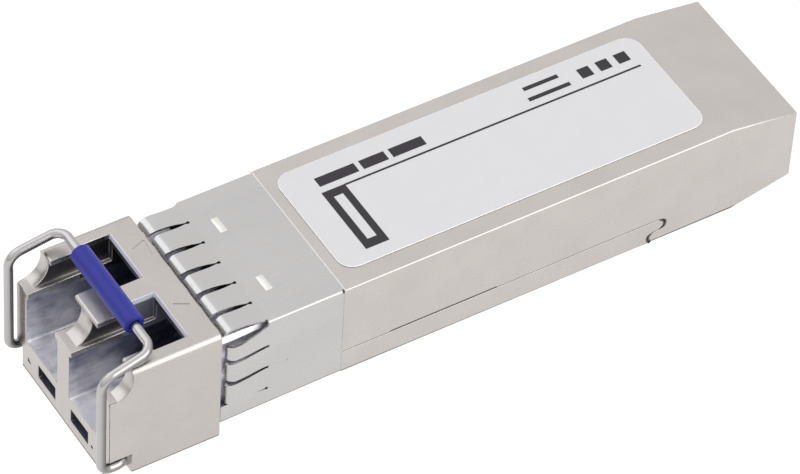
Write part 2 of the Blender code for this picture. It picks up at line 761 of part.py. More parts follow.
def make_receptacle(name, x):
    """Barrel with the port's nose, a flange behind the bulkhead and a cup for the can."""
    front, flange, cup = NOSE_FRONT, BULKHEAD_REAR + FIT_GAP, BULKHEAD_REAR + 1.1
    bore = SLEEVE_TUBE_RADIUS + 0.05
    profile = [
        (bore, front), (NOSE_RADIUS, front), (NOSE_RADIUS, flange), (FLANGE_RADIUS, flange),
        (FLANGE_RADIUS, cup), (CUP_RADIUS, cup), (CUP_RADIUS, CUP_REAR),
        (CAN_RADIUS + 0.08, CUP_REAR), (CAN_RADIUS + 0.08, -5.2), (0.5, -5.2), (0.5, -6.9),
        (bore, -6.9),
    ]
    return turned(name, list(reversed(profile)), x, PORT_Z, STAINLESS)


def make_ceramic_sleeve(name, x):
    low, high = NOSE_FRONT + 0.25, -6.95
    inner = FERRULE_RADIUS + 0.03
    profile = [
        (inner, low), (SLEEVE_TUBE_RADIUS, low), (SLEEVE_TUBE_RADIUS, high), (inner, high),
    ]
    return turned(name, list(reversed(profile)), x, PORT_Z, CERAMIC, steps=20)


def make_fibre_stub():
    """The ferrule stub that carries the laser's light into the transmit port's sleeve."""
    radii = (FERRULE_RADIUS,) * 2
    return cone(
        "transmit_fibre_stub", radii, (STUB_FRONT, STUB_REAR), (-PORT_X, PORT_Z), "Y", CERAMIC,
    )


def make_can(name, x):
    """Sealed can: a lens cap in the receptacle's cup, on a wider header."""
    profile = [
        (0.0, -4.9), (CAN_RADIUS - 0.3, -4.9), (CAN_RADIUS, -4.6), (CAN_RADIUS, HEADER_FRONT),
        (HEADER_RADIUS, HEADER_FRONT), (HEADER_RADIUS, HEADER_REAR), (0.0, HEADER_REAR),
    ]
    return turned(name, list(reversed(profile)), x, PORT_Z, GOLD)


def make_flex(name, x):
    """A flexible circuit from a can's header down to the board."""
    thick = 0.12
    face = HEADER_REAR + FIT_GAP
    board = BOARD_Z + BOARD_THICK + FIT_GAP
    outline = [
        (face, PORT_Z + 1.9), (face, board + 0.5), (face + 0.5, board), (3.6, board),
        (3.6, board + thick), (face + 0.55, board + thick), (face + thick, board + 0.55),
        (face + thick, PORT_Z + 1.9),
    ]
    return plate(name, outline, x - 1.7, x + 1.7, "X", FLEX_AMBER)


def make_osa_clamp():
    """The saddle that presses both flanges into the cradle."""
    low_y, high_y = BULKHEAD_REAR + 1.2, BULKHEAD_REAR + 3.2
    side = CRADLE_HALF - FIT_GAP
    clamp = box("osa_clamp", (-side, low_y, PORT_Z + 0.3), (side, high_y, 7.2), SHEET_STEEL)
    hole = CUP_RADIUS + FIT_GAP
    ends = (low_y - 1, high_y + 1)
    for name, x in (("clamp_bore_right", PORT_X), ("clamp_bore_left", -PORT_X)):
        cut(clamp, cone(name, (hole, hole), ends, (x, PORT_Z), "Y"))
    return clamp


def make_gasket():
    side = CRADLE_HALF - 0.2
    return box(
        "emi_gasket", (-side, BULKHEAD_REAR + 1.3, 7.2 + FIT_GAP),
        (side, BULKHEAD_REAR + 3.1, BODY_TOP - SHEET - FIT_GAP), GASKET_BLACK,
    )


# ---- Board and its parts ---------------------------------------------------------------

def make_board():
    nose = TONGUE_HALF - 0.5
    half = [
        (BOARD_HALF, BOARD_FRONT), (BOARD_HALF, TONGUE_FRONT - 1.2), (TONGUE_HALF, TONGUE_FRONT),
        (TONGUE_HALF, BOARD_REAR - 0.5), (nose, BOARD_REAR),
    ]
    outline = half + [(-x, y) for x, y in reversed(half)]
    top = BOARD_Z + BOARD_THICK
    return plate("circuit_board", outline, BOARD_Z, top, "Z", BOARD_GREEN)


def make_edge_contacts(name, low_z):
    """Ten plated fingers joined by the thin tie strip at their inner ends."""
    high_z = low_z + PAD_THICK
    pad_rear = BOARD_REAR - 0.6
    pad_front = pad_rear - PAD_LENGTH
    reach = PAD_PITCH * (PAD_COUNT - 1) / 2 + PAD_WIDTH / 2
    outline = [(-reach, pad_front - 0.2), (reach, pad_front - 0.2)]
    for index in reversed(range(PAD_COUNT)):
        x = (index - (PAD_COUNT - 1) / 2) * PAD_PITCH
        right, left = x + PAD_WIDTH / 2, x - PAD_WIDTH / 2
        if index < PAD_COUNT - 1:
            outline.append((right, pad_front))
        outline += [(right, pad_rear), (left, pad_rear)]
        if index > 0:
            outline.append((left, pad_front))
    return plate(name, outline, low_z, high_z, "Z", GOLD)


# name, centre x, centre y, length x, length y, height, side of the board, material
BOARD_PIECES = (
    ("laser_driver_ic", -3.1, 6.9, 4.0, 4.0, 0.9, 1, CHIP_BLACK),
    ("receiver_amp_ic", 3.1, 6.4, 3.0, 3.0, 0.9, 1, CHIP_BLACK),
    ("microcontroller_ic", 0.6, 16.4, 5.0, 5.0, 0.9, 1, CHIP_BLACK),
    ("memory_ic", -3.2, 22.6, 3.0, 4.4, 1.1, 1, CHIP_BLACK),
    ("filter_inductor", 3.0, 23.4, 2.5, 2.0, 1.6, 1, CHIP_BLACK),
    ("supply_capacitor", 3.4, 11.2, 1.6, 0.8, 0.8, 1, CHIP_CERAMIC),
    ("bias_capacitor", -2.0, 11.4, 1.6, 0.8, 0.8, 1, CHIP_CERAMIC),
    ("output_capacitor", 3.2, 26.3, 1.6, 0.8, 0.8, 1, CHIP_CERAMIC),
    ("thermal_pad", 0.0, 9.0, 8.0, 7.0, 1.24, -1, PAD_GREY),
)


def make_board_piece(name, x, y, size_x, size_y, height, side, material):
    if side > 0:
        low_z = BOARD_Z + BOARD_THICK + FIT_GAP
    else:
        low_z = BOARD_Z - FIT_GAP - height
    low = (x - size_x / 2, y - size_y / 2, low_z)
    high = (x + size_x / 2, y + size_y / 2, low_z + height)
    return box(name, low, high, material)


def main():
    make_nose_housing()
    make_emi_collar()
    make_top_cover()
    make_bottom_cover()
    make_label()
    make_bail()
    make_latch_rocker()
    make_latch_pin()
    make_latch_spring()
    for side, x in (("transmit", -PORT_X), ("receive", PORT_X)):
        make_receptacle(f"{side}_receptacle", x)
        make_ceramic_sleeve(f"{side}_ceramic_sleeve", x)
        make_can(f"{side}_can", x)
        make_flex(f"{side}_flex", x)
    make_fibre_stub()
    make_osa_clamp()
    make_gasket()
    make_board()
    make_edge_contacts("edge_contacts_top", BOARD_Z + BOARD_THICK + 0.005)
    make_edge_contacts("edge_contacts_bottom", BOARD_Z - 0.005 - PAD_THICK)
    for row in BOARD_PIECES:
        make_board_piece(*row)


main()
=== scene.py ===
"""Looks of the optical transceiver module: fine meshes, materials, light and camera.

Lengths are millimetres while a shape is being built, and MM turns the finished mesh into the
scene's metres. +X runs across the module, +Y towards its board edge and +Z up.
"""

import json
import math

import bmesh
import bpy
from mathutils import Matrix, Quaternion, Vector


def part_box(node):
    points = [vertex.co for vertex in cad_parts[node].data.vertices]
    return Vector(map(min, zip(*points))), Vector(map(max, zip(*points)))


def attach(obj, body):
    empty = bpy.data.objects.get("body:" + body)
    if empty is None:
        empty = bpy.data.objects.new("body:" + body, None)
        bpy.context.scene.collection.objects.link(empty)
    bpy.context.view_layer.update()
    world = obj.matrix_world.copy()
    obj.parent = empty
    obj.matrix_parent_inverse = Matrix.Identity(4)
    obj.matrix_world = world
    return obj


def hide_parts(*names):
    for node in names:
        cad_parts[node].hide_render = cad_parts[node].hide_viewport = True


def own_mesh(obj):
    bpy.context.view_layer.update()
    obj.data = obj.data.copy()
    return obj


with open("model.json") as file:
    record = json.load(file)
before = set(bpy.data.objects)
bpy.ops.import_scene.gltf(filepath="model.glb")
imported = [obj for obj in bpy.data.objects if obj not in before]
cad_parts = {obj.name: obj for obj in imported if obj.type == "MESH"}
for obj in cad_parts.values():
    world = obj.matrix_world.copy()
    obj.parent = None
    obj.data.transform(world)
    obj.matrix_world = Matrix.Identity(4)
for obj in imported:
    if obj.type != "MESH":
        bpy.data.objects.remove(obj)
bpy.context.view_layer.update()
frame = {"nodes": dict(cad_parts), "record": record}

MM = 0.001
OVER = 1.0  # how far a cutter reaches past the surface that it opens
NEAR = 0.01  # how far off a plane still counts as on it


def span(node):
    """Lowest and highest corner of a CAD node in millimetres."""
    low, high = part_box(node)
    return low / MM, high / MM


# Head: one casting with two ports side by side. A port is a bay with a window in its roof. Two
# hooks on each side overhang the ledges at the bay's top, and the neck runs back inside the body.
HEAD_LOW, HEAD_HIGH = span("nose_housing")
HEAD_HALF = HEAD_HIGH.x
HEAD_FRONT = HEAD_LOW.y
HEAD_TOP = HEAD_HIGH.z
HEAD_BOTTOM = HEAD_LOW.z
NECK_REAR = HEAD_HIGH.y
HEAD_REAR = -10.05
HEAD_TOP_ROUND = 0.62
HEAD_LOW_ROUND = 0.3
HEAD_EDGE_ROUND = 0.08
# Width of the painted shadow strip along the front's lower edge
FRONT_SHADOW_WIDTH = 0.22
WALL_INNER = 0.83
BAY_OUTER = 5.43
BAY_FLOOR = 1.62
BAY_ROOF = 6.15
BAY_REAR = -8.6
BAY_CORNER = 0.25
SHELF_INNER = 1.16
SHELF_OUTER = 5.22
LEDGE_Z = 6.7
LEDGE_ROUND = 0.3
GROOVE_TOP = 8.2
HOOK_BELOW = 8.68
HOOK_INNER = 1.6
HOOK_REAR = -14.8
HOOK_NOSE_ROUND = 0.2
NOTCH_Y, NOTCH_Z = -19.0, 8.45
NOTCH_RADIUS = 1.85
WINDOW_OUTER = 5.59
WINDOW_REAR = -12.18
WINDOW_RIM_Z = 8.68
CHANNEL_LOW = BAY_ROOF - 0.3
CHANNEL_REAR = -10.8
SLOT_INNER, SLOT_OUTER = 1.11, 3.68
SLOT_LOW, SLOT_HIGH = -0.54, 0.81
SLOT_REAR = -16.6
ARM_POCKET_X = 6.0
ARM_POCKET_TOP = 0.6
ARM_POCKET_REAR = -17.2
NECK_HALF = 6.1
NECK_BOTTOM = 0.5
NECK_TOP = 7.72
NECK_CHAMFER = 0.35
NECK_STEP_Y = -3.7
NECK_STEP_Z = 0.72
BULKHEAD_REAR = -7.4
CRADLE_HALF = 5.7
CRADLE_FLOOR = 1.35
BARREL_HOLE = 1.56
PIVOT_PLAY = 0.05
PIVOT_DEPTH = 0.15
# Room for the rocker under the head: how far it stands clear, and the roof over each stretch
ROCKER_CLEAR = 0.25
ROCKER_SIDE = 1.55
ROCKER_ROOF = -0.15
ROCKER_BEAM_REAR = -14.5
ROCKER_HUB_FRONT = -14.6
ROCKER_HUB_ROOF = 1.36
ROCKER_ARM_ROOF = 1.75
# Engraved strokes on the roof, as points in plan, and two small marks in the sill
MARK_WIDTH = 0.1
MARK_DEPTH = 0.05
MARK_ANGLE = [(-3.47, -11.5), (-3.88, -10.4), (-2.43, -10.53)]
MARK_LINE = [(2.47, -11.6), (3.05, -10.55)]
SILL_HOLE = (4.31, -0.11)
SILL_HOLE_RADIUS = 0.15
SILL_HOLE_DEPTH = 0.6
SILL_PIT = [(-5.12, 0.25), (-5.14, -0.17), (-4.6, -0.17)]
SILL_PIT_DEPTH = 0.3

# Collar: a thin sheet round the body's front, cut into sprung fingers towards the head
BODY_HIGH = span("top_cover")[1]
COLLAR_REAR = span("emi_collar")[1].y + 0.16  # its rear edge is tucked under the top cover
BODY_HALF = BODY_HIGH.x
BODY_TOP = BODY_HIGH.z
SHEET = 0.18
COLLAR_SET_IN = 0.04
COLLAR_SIDE = BODY_HALF - COLLAR_SET_IN
COLLAR_ROOF = BODY_TOP - COLLAR_SET_IN
COLLAR_CORNER = 0.22
COLLAR_CORNER_STEPS = 6
FLOOR_WINDOW_SIDE = 0.45
CORNER_DEPTH = 0.35  # how deep the cuts that open the top corners go
STRIP_POINTS = COLLAR_CORNER_STEPS + 2  # points of half a ring on the strip by the floor
STRIP_TOP = 1.52
STRIP_GAP = 0.1
STRIP_FRONT = -9.95
STRIP_DROP = (0.08, 0.25)
FINGER_START = -6.0
FINGER_CREST_Y = -8.9
FINGER_CREST = 0.24
FINGER_CURL = 0.75
FINGER_CURL_DEG = 66
FINGER_PITCH = 2.22
FINGER_ROOT = -6.43
SIDE_ROOT = -6.2
SIDE_SLOTS_Z = (5.96, 3.77)
SLOT_ROOT = 0.13
# Slot outlines: how wide each side of the slot stands at each y
TOP_SLOT = [(-6.65, 0.05), (-7.3, 0.15), (-8.0, 0.2), (-9.1, 0.2), (-9.5, 0.3), (-10.3, 0.5)]
SIDE_SLOT = [(-6.4, 0.12), (-8.0, 0.15), (-9.0, 0.17), (-9.4, 0.26), (-9.7, 0.42), (-10.3, 0.6)]
FINGER_ROOT_CORNER = -6.15
CORNER_TOP = [(-6.17, 6.62), (-6.3, 6.42), (-6.6, 6.28), (-7.7, 6.2), (-9.2, 6.2), (-10.3, 6.1)]
CORNER_SIDE = [(-6.17, 8.2), (-6.35, 7.98), (-7.0, 7.76), (-8.4, 7.5), (-9.4, 7.5), (-10.3, 7.4)]
LATCH_WINDOW_X = 2.4
LATCH_WINDOW_REAR = -4.2
FLOOR_FRONT_Y = -3.56
TAB_X, TAB_Y = 3.2, -4.6
TAB_WIDTH, TAB_LENGTH = 1.5, 0.55
TAB_HEIGHTS = (-0.03, 0.01, 0.07)  # foot, top at the front and top at the rear, over the roof
DIMPLE = (-4.6, 3.7)
DIMPLE_RADIUS = 0.13
DIMPLE_DEPTH = 0.06

# Bail
SLEEVE_LOW, SLEEVE_HIGH = span("bail_sleeve")
CROSS_Y = (SLEEVE_LOW.y + SLEEVE_HIGH.y) / 2
CROSS_Z = (SLEEVE_LOW.z + SLEEVE_HIGH.z) / 2
SLEEVE_RADIUS = (SLEEVE_HIGH.z - SLEEVE_LOW.z) / 2
SLEEVE_BORE = 0.4
WIRE_RADIUS = 0.36
PIVOT_Y, PIVOT_Z = -17.65, 0.1
SHAFT_END = 4.3
LEG_X = 6.78
LEG_Y = -19.7
LEG_TOP = 9.53
CROSS_X = 6.55
FOOT_BEND = 0.85
TOP_BEND = 1.25
CROSS_BEND = 1.05

# Covers
SEAM_Z = 2.05
SEAM_OPEN = (4.1, 13.0)
# The hook's two curls in the seam: the rear one from its turn up, the front one below it
CURL_REAR_Y = 27.3
CURL_FRONT_Y = (26.0, 27.0)
CURL_TURN_Z, CURL_TOP_Z = 0.85, 1.95
# Width of the painted shadow line along the covers' lower edges
LOW_EDGE_SHADOW_WIDTH = 0.13
ROOF_EDGE_LOW = 7.6
ROOF_ROUND = 0.16
ROOF_FRONT_ROUND = 0.12
COVER_EDGE_ROUND = 0.04

# Label
LABEL_LOW, LABEL_HIGH = span("label")
LABEL_CORNER = 1.3
LABEL_EDGE_ROUND = 0.06
PRINT_THICK = 0.012
# Printed shapes in plan, as a low and a high corner, or as ranges of y between two values of x
PRINT_RULE = ((-2.28, 5.3), (-2.11, 30.7))
PRINT_BLOCK = ((-2.26, 3.35), (4.0, 5.3))
PRINT_BLOCK_WINDOW = ((-1.5, 3.95), (3.2, 4.7))
PRINT_FRONT_X = (-3.75, -2.85)
PRINT_BARS_FRONT = [(3.6, 6.9), (7.3, 9.4), (9.8, 12.6)]
PRINT_BARS_REAR = [((-4.38, 21.7), (-4.02, 24.7)), ((-3.28, 21.5), (-2.92, 25.1))]
PRINT_SQUARE_X = (-4.05, -3.05)
PRINT_SQUARES = [26.2, 27.8, 29.4]
PRINT_SQUARE = 1.0

# Stage
FLOOR_REST_Y = 33.7  # where the body's rear rests
FLOOR_HALF = 1500.0
FLOOR_GAP = 0.02

# Camera. The azimuth turns from the module's front to its right side.
VIEW_AZIMUTH = 56.005
VIEW_ELEVATION = 46.586
VIEW_ROLL = 3.825
VIEW_DISTANCE = 394.15
VIEW_AIM = (0.552, 8.503, 4.0)
LENS = 244.65


# ---- Mesh helpers, in millimetres ------------------------------------------------------

def add_shape(name, bm):
    mesh = bpy.data.meshes.new(name)
    bm.to_mesh(mesh)
    bm.free()
    obj = bpy.data.objects.new(name, mesh)
    bpy.context.scene.collection.objects.link(obj)
    return obj


def block(name, low, high):
    bm = bmesh.new()
    bmesh.ops.create_cube(bm, size=1.0)
    low, high = Vector(low), Vector(high)
    bmesh.ops.scale(bm, vec=high - low, verts=bm.verts)
    bmesh.ops.translate(bm, vec=(high + low) / 2, verts=bm.verts)
    return add_shape(name, bm)


def placed(u, v, w, axis):
    """An outline's (u, v) at height w along the axis, as a point in space."""
    return Vector({"X": (w, u, v), "Y": (u, w, v), "Z": (u, v, w)}[axis])


def prism(name, outline, low, high, axis):
    """A flat outline made solid from low to high along the axis."""
    bm = bmesh.new()
    base = bm.faces.new([bm.verts.new(placed(u, v, low, axis)) for u, v in outline])
    grown = bmesh.ops.extrude_face_region(bm, geom=[base])
    moved = [item for item in grown["geom"] if isinstance(item, bmesh.types.BMVert)]
    bmesh.ops.translate(bm, vec=placed(0, 0, high - low, axis), verts=moved)
    bmesh.ops.recalc_face_normals(bm, faces=bm.faces)
    return add_shape(name, bm)


AXIS_TURNS = {
    "X": Matrix.Rotation(math.pi / 2, 4, "Y"),
    "Y": Matrix.Rotation(-math.pi / 2, 4, "X"),
    "Z": Matrix.Identity(4),
}


def rod(name, radii, ends, centre, axis, sides=40):
    """A cylinder or cone: ends are its places on the axis, centre the other two."""
    bm = bmesh.new()
    bmesh.ops.create_cone(
        bm, cap_ends=True, segments=sides, radius1=radii[0], radius2=radii[1],
        depth=ends[1] - ends[0],
    )
    middle = (ends[0] + ends[1]) / 2
    place = {
        "X": (middle, centre[0], centre[1]),
        "Y": (centre[0], middle, centre[1]),
        "Z": (centre[0], centre[1], middle),
    }[axis]
    bmesh.ops.transform(bm, matrix=AXIS_TURNS[axis], verts=bm.verts)
    bmesh.ops.translate(bm, vec=Vector(place), verts=bm.verts)
    return add_shape(name, bm)


def combine(target, others, operation):
    """Boolean of the others into the target, applied. The others are used up."""
    for other in others:
        modifier = target.modifiers.new(other.name, "BOOLEAN")
        modifier.operation = operation
        modifier.object = other
    bpy.context.view_layer.update()
    graph = bpy.context.evaluated_depsgraph_get()
    mesh = bpy.data.meshes.new_from_object(target.evaluated_get(graph))
    target.modifiers.clear()
    target.data = mesh
    for other in others:
        bpy.data.objects.remove(other, do_unlink=True)
    return target


def cut(target, *cutters):
    return combine(target, cutters, "DIFFERENCE")


def join(target, *others):
    return combine(target, others, "UNION")


def tidy_faces(obj, weld=0.004, flat_deg=0.6):
    """Welds the mesh and merges the flat faces that Booleans split."""
    bm = bmesh.new()
    bm.from_mesh(obj.data)
    bmesh.ops.remove_doubles(bm, verts=bm.verts, dist=weld)
    bmesh.ops.dissolve_limit(
        bm, angle_limit=math.radians(flat_deg), verts=bm.verts, edges=bm.edges,
        delimit={"MATERIAL"},
    )
    bm.to_mesh(obj.data)
    bm.free()
    return obj


def bevel_edges(bm, chosen, sharper_than, width, **shape):
    """Bevels the edges that are sharper than an angle and whose middle is chosen."""
    limit = math.radians(sharper_than)
    edges = [
        edge for edge in bm.edges
        if len(edge.link_faces) == 2 and edge.calc_face_angle() > limit
        and chosen((edge.verts[0].co + edge.verts[1].co) / 2)
    ]
    bmesh.ops.bevel(
        bm, geom=edges, offset=width, offset_type="OFFSET", affect="EDGES",
        clamp_overlap=False, **shape,
    )


def round_edges(obj, radius, segments, chosen=lambda middle: True, sharper_than=35):
    """Rounds the chosen sharp edges. The roundings take the look of the faces beside them."""
    bm = bmesh.new()
    bm.from_mesh(obj.data)
    bevel_edges(bm, chosen, sharper_than, radius, segments=segments, profile=0.5, material=-1)
    bm.to_mesh(obj.data)
    bm.free()


def mark_edges(obj, width, chosen):
    """Lays a narrow strip beside each chosen edge, in the second material, which paints a thin
    shadow line there. The shape stays.
    """
    bm = bmesh.new()
    bm.from_mesh(obj.data)
    bevel_edges(bm, chosen, 30, width, segments=2, profile=1.0, material=1)
    for face in bm.faces:
        if face.calc_area() > width * face.calc_perimeter():
            face.material_index = 0
    bm.to_mesh(obj.data)
    bm.free()


def arc(centre_u, centre_v, radius, start_deg, end_deg, steps):
    points = []
    for step in range(steps + 1):
        angle = math.radians(start_deg + (end_deg - start_deg) * step / steps)
        points.append((centre_u + radius * math.cos(angle), centre_v + radius * math.sin(angle)))
    return points


def rounded_rectangle(low, high, radius, steps):
    corners = (
        (high[0] - radius, high[1] - radius, 0),
        (low[0] + radius, high[1] - radius, 90),
        (low[0] + radius, low[1] + radius, 180),
        (high[0] - radius, low[1] + radius, 270),
    )
    outline = []
    for u, v, start in corners:
        outline += arc(u, v, radius, start, start + 90, steps)
    return outline


def mirrored(make, x_in, x_out):
    """What make returns for a range of x, and for its mirror image."""
    return [make("right", x_in, x_out), make("left", -x_out, -x_in)]


def side_ends(side, x_in, x_out):
    """A range of x on one side, in rising order."""
    return sorted((side * x_in, side * x_out))


def blocks_both_sides(name, low, high):
    def make(side, x_low, x_high):
        return block(f"{name}_{side}", (x_low, low[1], low[2]), (x_high, high[1], high[2]))

    return mirrored(make, low[0], high[0])


def rounded_path(corners, radii, steps):
    """A path through the corners with each inner corner replaced by an arc of its radius."""
    points = [Vector(corners[0])]
    for before, corner, after, radius in zip(corners, corners[1:], corners[2:], radii):
        here = Vector(corner)
        back = (Vector(before) - here).normalized()
        ahead = (Vector(after) - here).normalized()
        half = back.angle(ahead) / 2
        centre = here + (back + ahead).normalized() * (radius / math.sin(half))
        start = (here + back * (radius / math.tan(half)) - centre).normalized()
        end = (here + ahead * (radius / math.tan(half)) - centre).normalized()
        for step in range(steps + 1):
            points.append(centre + start.slerp(end, step / steps) * radius)
    points.append(Vector(corners[-1]))
    return points


def copy_of(node, name):
    """A new piece in millimetres with a CAD node's shape."""
    mesh = frame["nodes"][node].data.copy()
    mesh.name = name
    mesh.transform(Matrix.Scale(1 / MM, 4))
    obj = bpy.data.objects.new(name, mesh)
    bpy.context.scene.collection.objects.link(obj)
    tidy_faces(obj)
    return obj


def split_across(obj, axis, value):
    """Adds a loop of edges round the shape where that coordinate has the value."""
    here = placed(0, 0, value, axis)
    bm = bmesh.new()
    bm.from_mesh(obj.data)
    parts = bm.verts[:] + bm.edges[:] + bm.faces[:]
    bmesh.ops.bisect_plane(bm, geom=parts, plane_co=here, plane_no=here)
    bm.to_mesh(obj.data)
    bm.free()


def paint(obj, material, chosen):
    """Gives a further material to the faces whose middle (mm) and normal are chosen."""
    obj.data.materials.append(material)
    for face in obj.data.polygons:
        if chosen(face.center / MM, face.normal):
            face.material_index = len(obj.data.materials) - 1


def finish_piece(obj, material, body, nodes, marked=None):
    """Turns a shape into metres and makes it a piece that stands for the CAD nodes."""
    mesh = obj.data
    if "custom_normal" in mesh.attributes:
        mesh.attributes.remove(mesh.attributes["custom_normal"])
    mesh.transform(Matrix.Scale(MM, 4))
    for index, look in enumerate([material, marked] if marked else [material]):
        if index == len(mesh.materials):
            mesh.materials.append(look)
        mesh.materials[index] = look
    mesh.shade_smooth()
    mesh.set_sharp_from_angle(angle=math.radians(50))
    modifier = obj.modifiers.new("flat_faces_first", "WEIGHTED_NORMAL")
    modifier.keep_sharp = True
    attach(obj, body)
    if nodes:
        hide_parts(*nodes)
    return obj


# ---- Materials -------------------------------------------------------------------------

def add_node(tree, kind, **settings):
    node = tree.nodes.new(kind)
    for key, value in settings.items():
        setattr(node, key, value)
    return node


def new_material(name):
    material = bpy.data.materials.new(name)
    material.use_nodes = True
    return material, material.node_tree, material.node_tree.nodes["Principled BSDF"]


def object_space(tree, stretch=(1, 1, 1)):
    coordinates = add_node(tree, "ShaderNodeTexCoord")
    mapping = add_node(tree, "ShaderNodeMapping")
    mapping.inputs["Scale"].default_value = stretch
    tree.links.new(coordinates.outputs["Object"], mapping.inputs["Vector"])
    return mapping.outputs["Vector"]


def noise(tree, where, size, detail=3.0):
    """Noise whose largest features are about that many millimetres across."""
    node = add_node(tree, "ShaderNodeTexNoise")
    node.inputs["Scale"].default_value = 1 / (size * MM)
    node.inputs["Detail"].default_value = detail
    tree.links.new(where, node.inputs["Vector"])
    return node.outputs["Fac"]


def spread(tree, factor, low, high):
    """The noise's usual range stretched to run from low to high."""
    node = add_node(tree, "ShaderNodeMapRange")
    node.inputs["From Min"].default_value = 0.3
    node.inputs["From Max"].default_value = 0.7
    node.inputs["To Min"].default_value = low
    node.inputs["To Max"].default_value = high
    tree.links.new(factor, node.inputs["Value"])
    return node.outputs["Result"]


def coordinate(tree, axis):
    """One coordinate of the shaded point on the unmoved piece, in metres."""
    source = add_node(tree, "ShaderNodeTexCoord")
    split = add_node(tree, "ShaderNodeSeparateXYZ")
    tree.links.new(source.outputs["Object"], split.inputs["Vector"])
    return split.outputs[axis]


def ramp(tree, value, start, end, low=0.0, high=1.0):
    """A smooth step from low to high while the value goes from start to end."""
    node = add_node(tree, "ShaderNodeMapRange", interpolation_type="SMOOTHSTEP")
    limits = {"From Min": start, "From Max": end, "To Min": low, "To Max": high}
    for socket, number in limits.items():
        node.inputs[socket].default_value = number
    tree.links.new(value, node.inputs["Value"])
    return node.outputs["Result"]


def added(tree, *values):
    """The values' sum, kept between 0 and 1 at each step."""
    total = values[0]
    for value in values[1:]:
        node = add_node(tree, "ShaderNodeMath", operation="ADD", use_clamp=True)
        tree.links.new(total, node.inputs[0])
        tree.links.new(value, node.inputs[1])
        total = node.outputs["Value"]
    return total


def blended(tree, factor, first, second):
    node = add_node(tree, "ShaderNodeMix", data_type="RGBA")
    node.inputs["A"].default_value = (*first, 1.0)
    node.inputs["B"].default_value = (*second, 1.0)
    tree.links.new(factor, node.inputs["Factor"])
    return node.outputs["Result"]


def bump(tree, height, depth, strength, under=None):
    """A bump of that many millimetres, laid over another one."""
    node = add_node(tree, "ShaderNodeBump")
    node.inputs["Distance"].default_value = depth * MM
    node.inputs["Strength"].default_value = strength
    tree.links.new(height, node.inputs["Height"])
    if under:
        tree.links.new(under, node.inputs["Normal"])
    return node.outputs["Normal"]


def shades_of(color, share):
    """The colour made darker and lighter by that share."""
    return [c * (1 - share) for c in color], [min(1.0, c * (1 + share)) for c in color]


def metal(
    name, color, roughness, grain=0.14, grain_depth=0.004, stretch=(1, 1, 1), metallic=1.0,
):
    """Plated metal: fine grain, a slow waviness and a slight play of shade and gloss."""
    material, tree, shader = new_material(name)
    where = object_space(tree, stretch)
    shader.inputs["Metallic"].default_value = metallic
    fine = noise(tree, where, grain)
    slow = noise(tree, where, 3.5, detail=2.0)
    tree.links.new(
        blended(tree, spread(tree, slow, 0.0, 1.0), *shades_of(color, 0.03)),
        shader.inputs["Base Color"],
    )
    tree.links.new(
        spread(tree, fine, roughness - 0.05, roughness + 0.06), shader.inputs["Roughness"],
    )
    waves = bump(tree, slow, 0.006, 0.5)
    tree.links.new(bump(tree, fine, grain_depth, 0.35, under=waves), shader.inputs["Normal"])
    return material


def bay_metal_painted_light_and_shade(name, light, dark, roughness):
    """Inside the ports: painted light and shade, near white to the front and floor and darker and
    bluer to the roof and the rear, over random streaks and mottling.
    """
    rearward, upward = (-15.6 * MM, -12.4 * MM), (1.7 * MM, 5.6 * MM)
    material, tree, shader = new_material(name)
    shader.inputs["Metallic"].default_value = 1.0
    streaks = noise(tree, object_space(tree, (1, 0.3, 1)), 0.9, detail=4.0)
    blotches = noise(tree, object_space(tree), 1.5, detail=5.0)
    shade = added(
        tree,
        ramp(tree, coordinate(tree, "Y"), *rearward, 0.0, 0.62),
        ramp(tree, coordinate(tree, "Z"), *upward, 0.05, 0.6),
        spread(tree, streaks, -0.3, 0.3),
        spread(tree, blotches, -0.25, 0.3),
    )
    tree.links.new(blended(tree, shade, light, dark), shader.inputs["Base Color"])
    tree.links.new(
        spread(tree, blotches, roughness - 0.08, roughness + 0.1), shader.inputs["Roughness"],
    )
    waves = bump(tree, streaks, 0.03, 0.5)
    tree.links.new(bump(tree, blotches, 0.04, 0.5, under=waves), shader.inputs["Normal"])
    return material


def wire_metal_painted_shade(name, color, shade_color, roughness):
    """Drawn wire with painted shade: darker on the side that faces down and to the rear."""
    material = metal(name, color, roughness, grain=0.2, grain_depth=0.002, stretch=(1, 1, 0.3))
    tree = material.node_tree
    base = tree.nodes["Principled BSDF"].inputs["Base Color"]
    unshaded_color = base.links[0].from_socket
    source = add_node(tree, "ShaderNodeTexCoord")
    facing = add_node(tree, "ShaderNodeVectorMath", operation="DOT_PRODUCT")
    facing.inputs[1].default_value = (0.15, 0.7, -0.7)
    tree.links.new(source.outputs["Normal"], facing.inputs[0])
    mix = add_node(tree, "ShaderNodeMix", data_type="RGBA")
    mix.inputs["B"].default_value = (*shade_color, 1.0)
    tree.links.new(unshaded_color, mix.inputs["A"])
    tree.links.new(ramp(tree, facing.outputs["Value"], -0.5, 0.7), mix.inputs["Factor"])
    tree.links.new(mix.outputs["Result"], base)
    return material


def plastic(name, color, roughness, grain=0.1, depth=0.004, share=0.06, specular=0.5):
    """Moulded plastic, film or epoxy with a fine skin."""
    material, tree, shader = new_material(name)
    shader.inputs["Specular IOR Level"].default_value = specular
    where = object_space(tree)
    fine = noise(tree, where, grain)
    slow = noise(tree, where, 1.6, detail=2.0)
    tree.links.new(
        blended(tree, spread(tree, slow, 0.0, 1.0), *shades_of(color, share)),
        shader.inputs["Base Color"],
    )
    tree.links.new(
        spread(tree, fine, roughness - 0.04, roughness + 0.05), shader.inputs["Roughness"],
    )
    tree.links.new(bump(tree, fine, depth, 0.4), shader.inputs["Normal"])
    return material


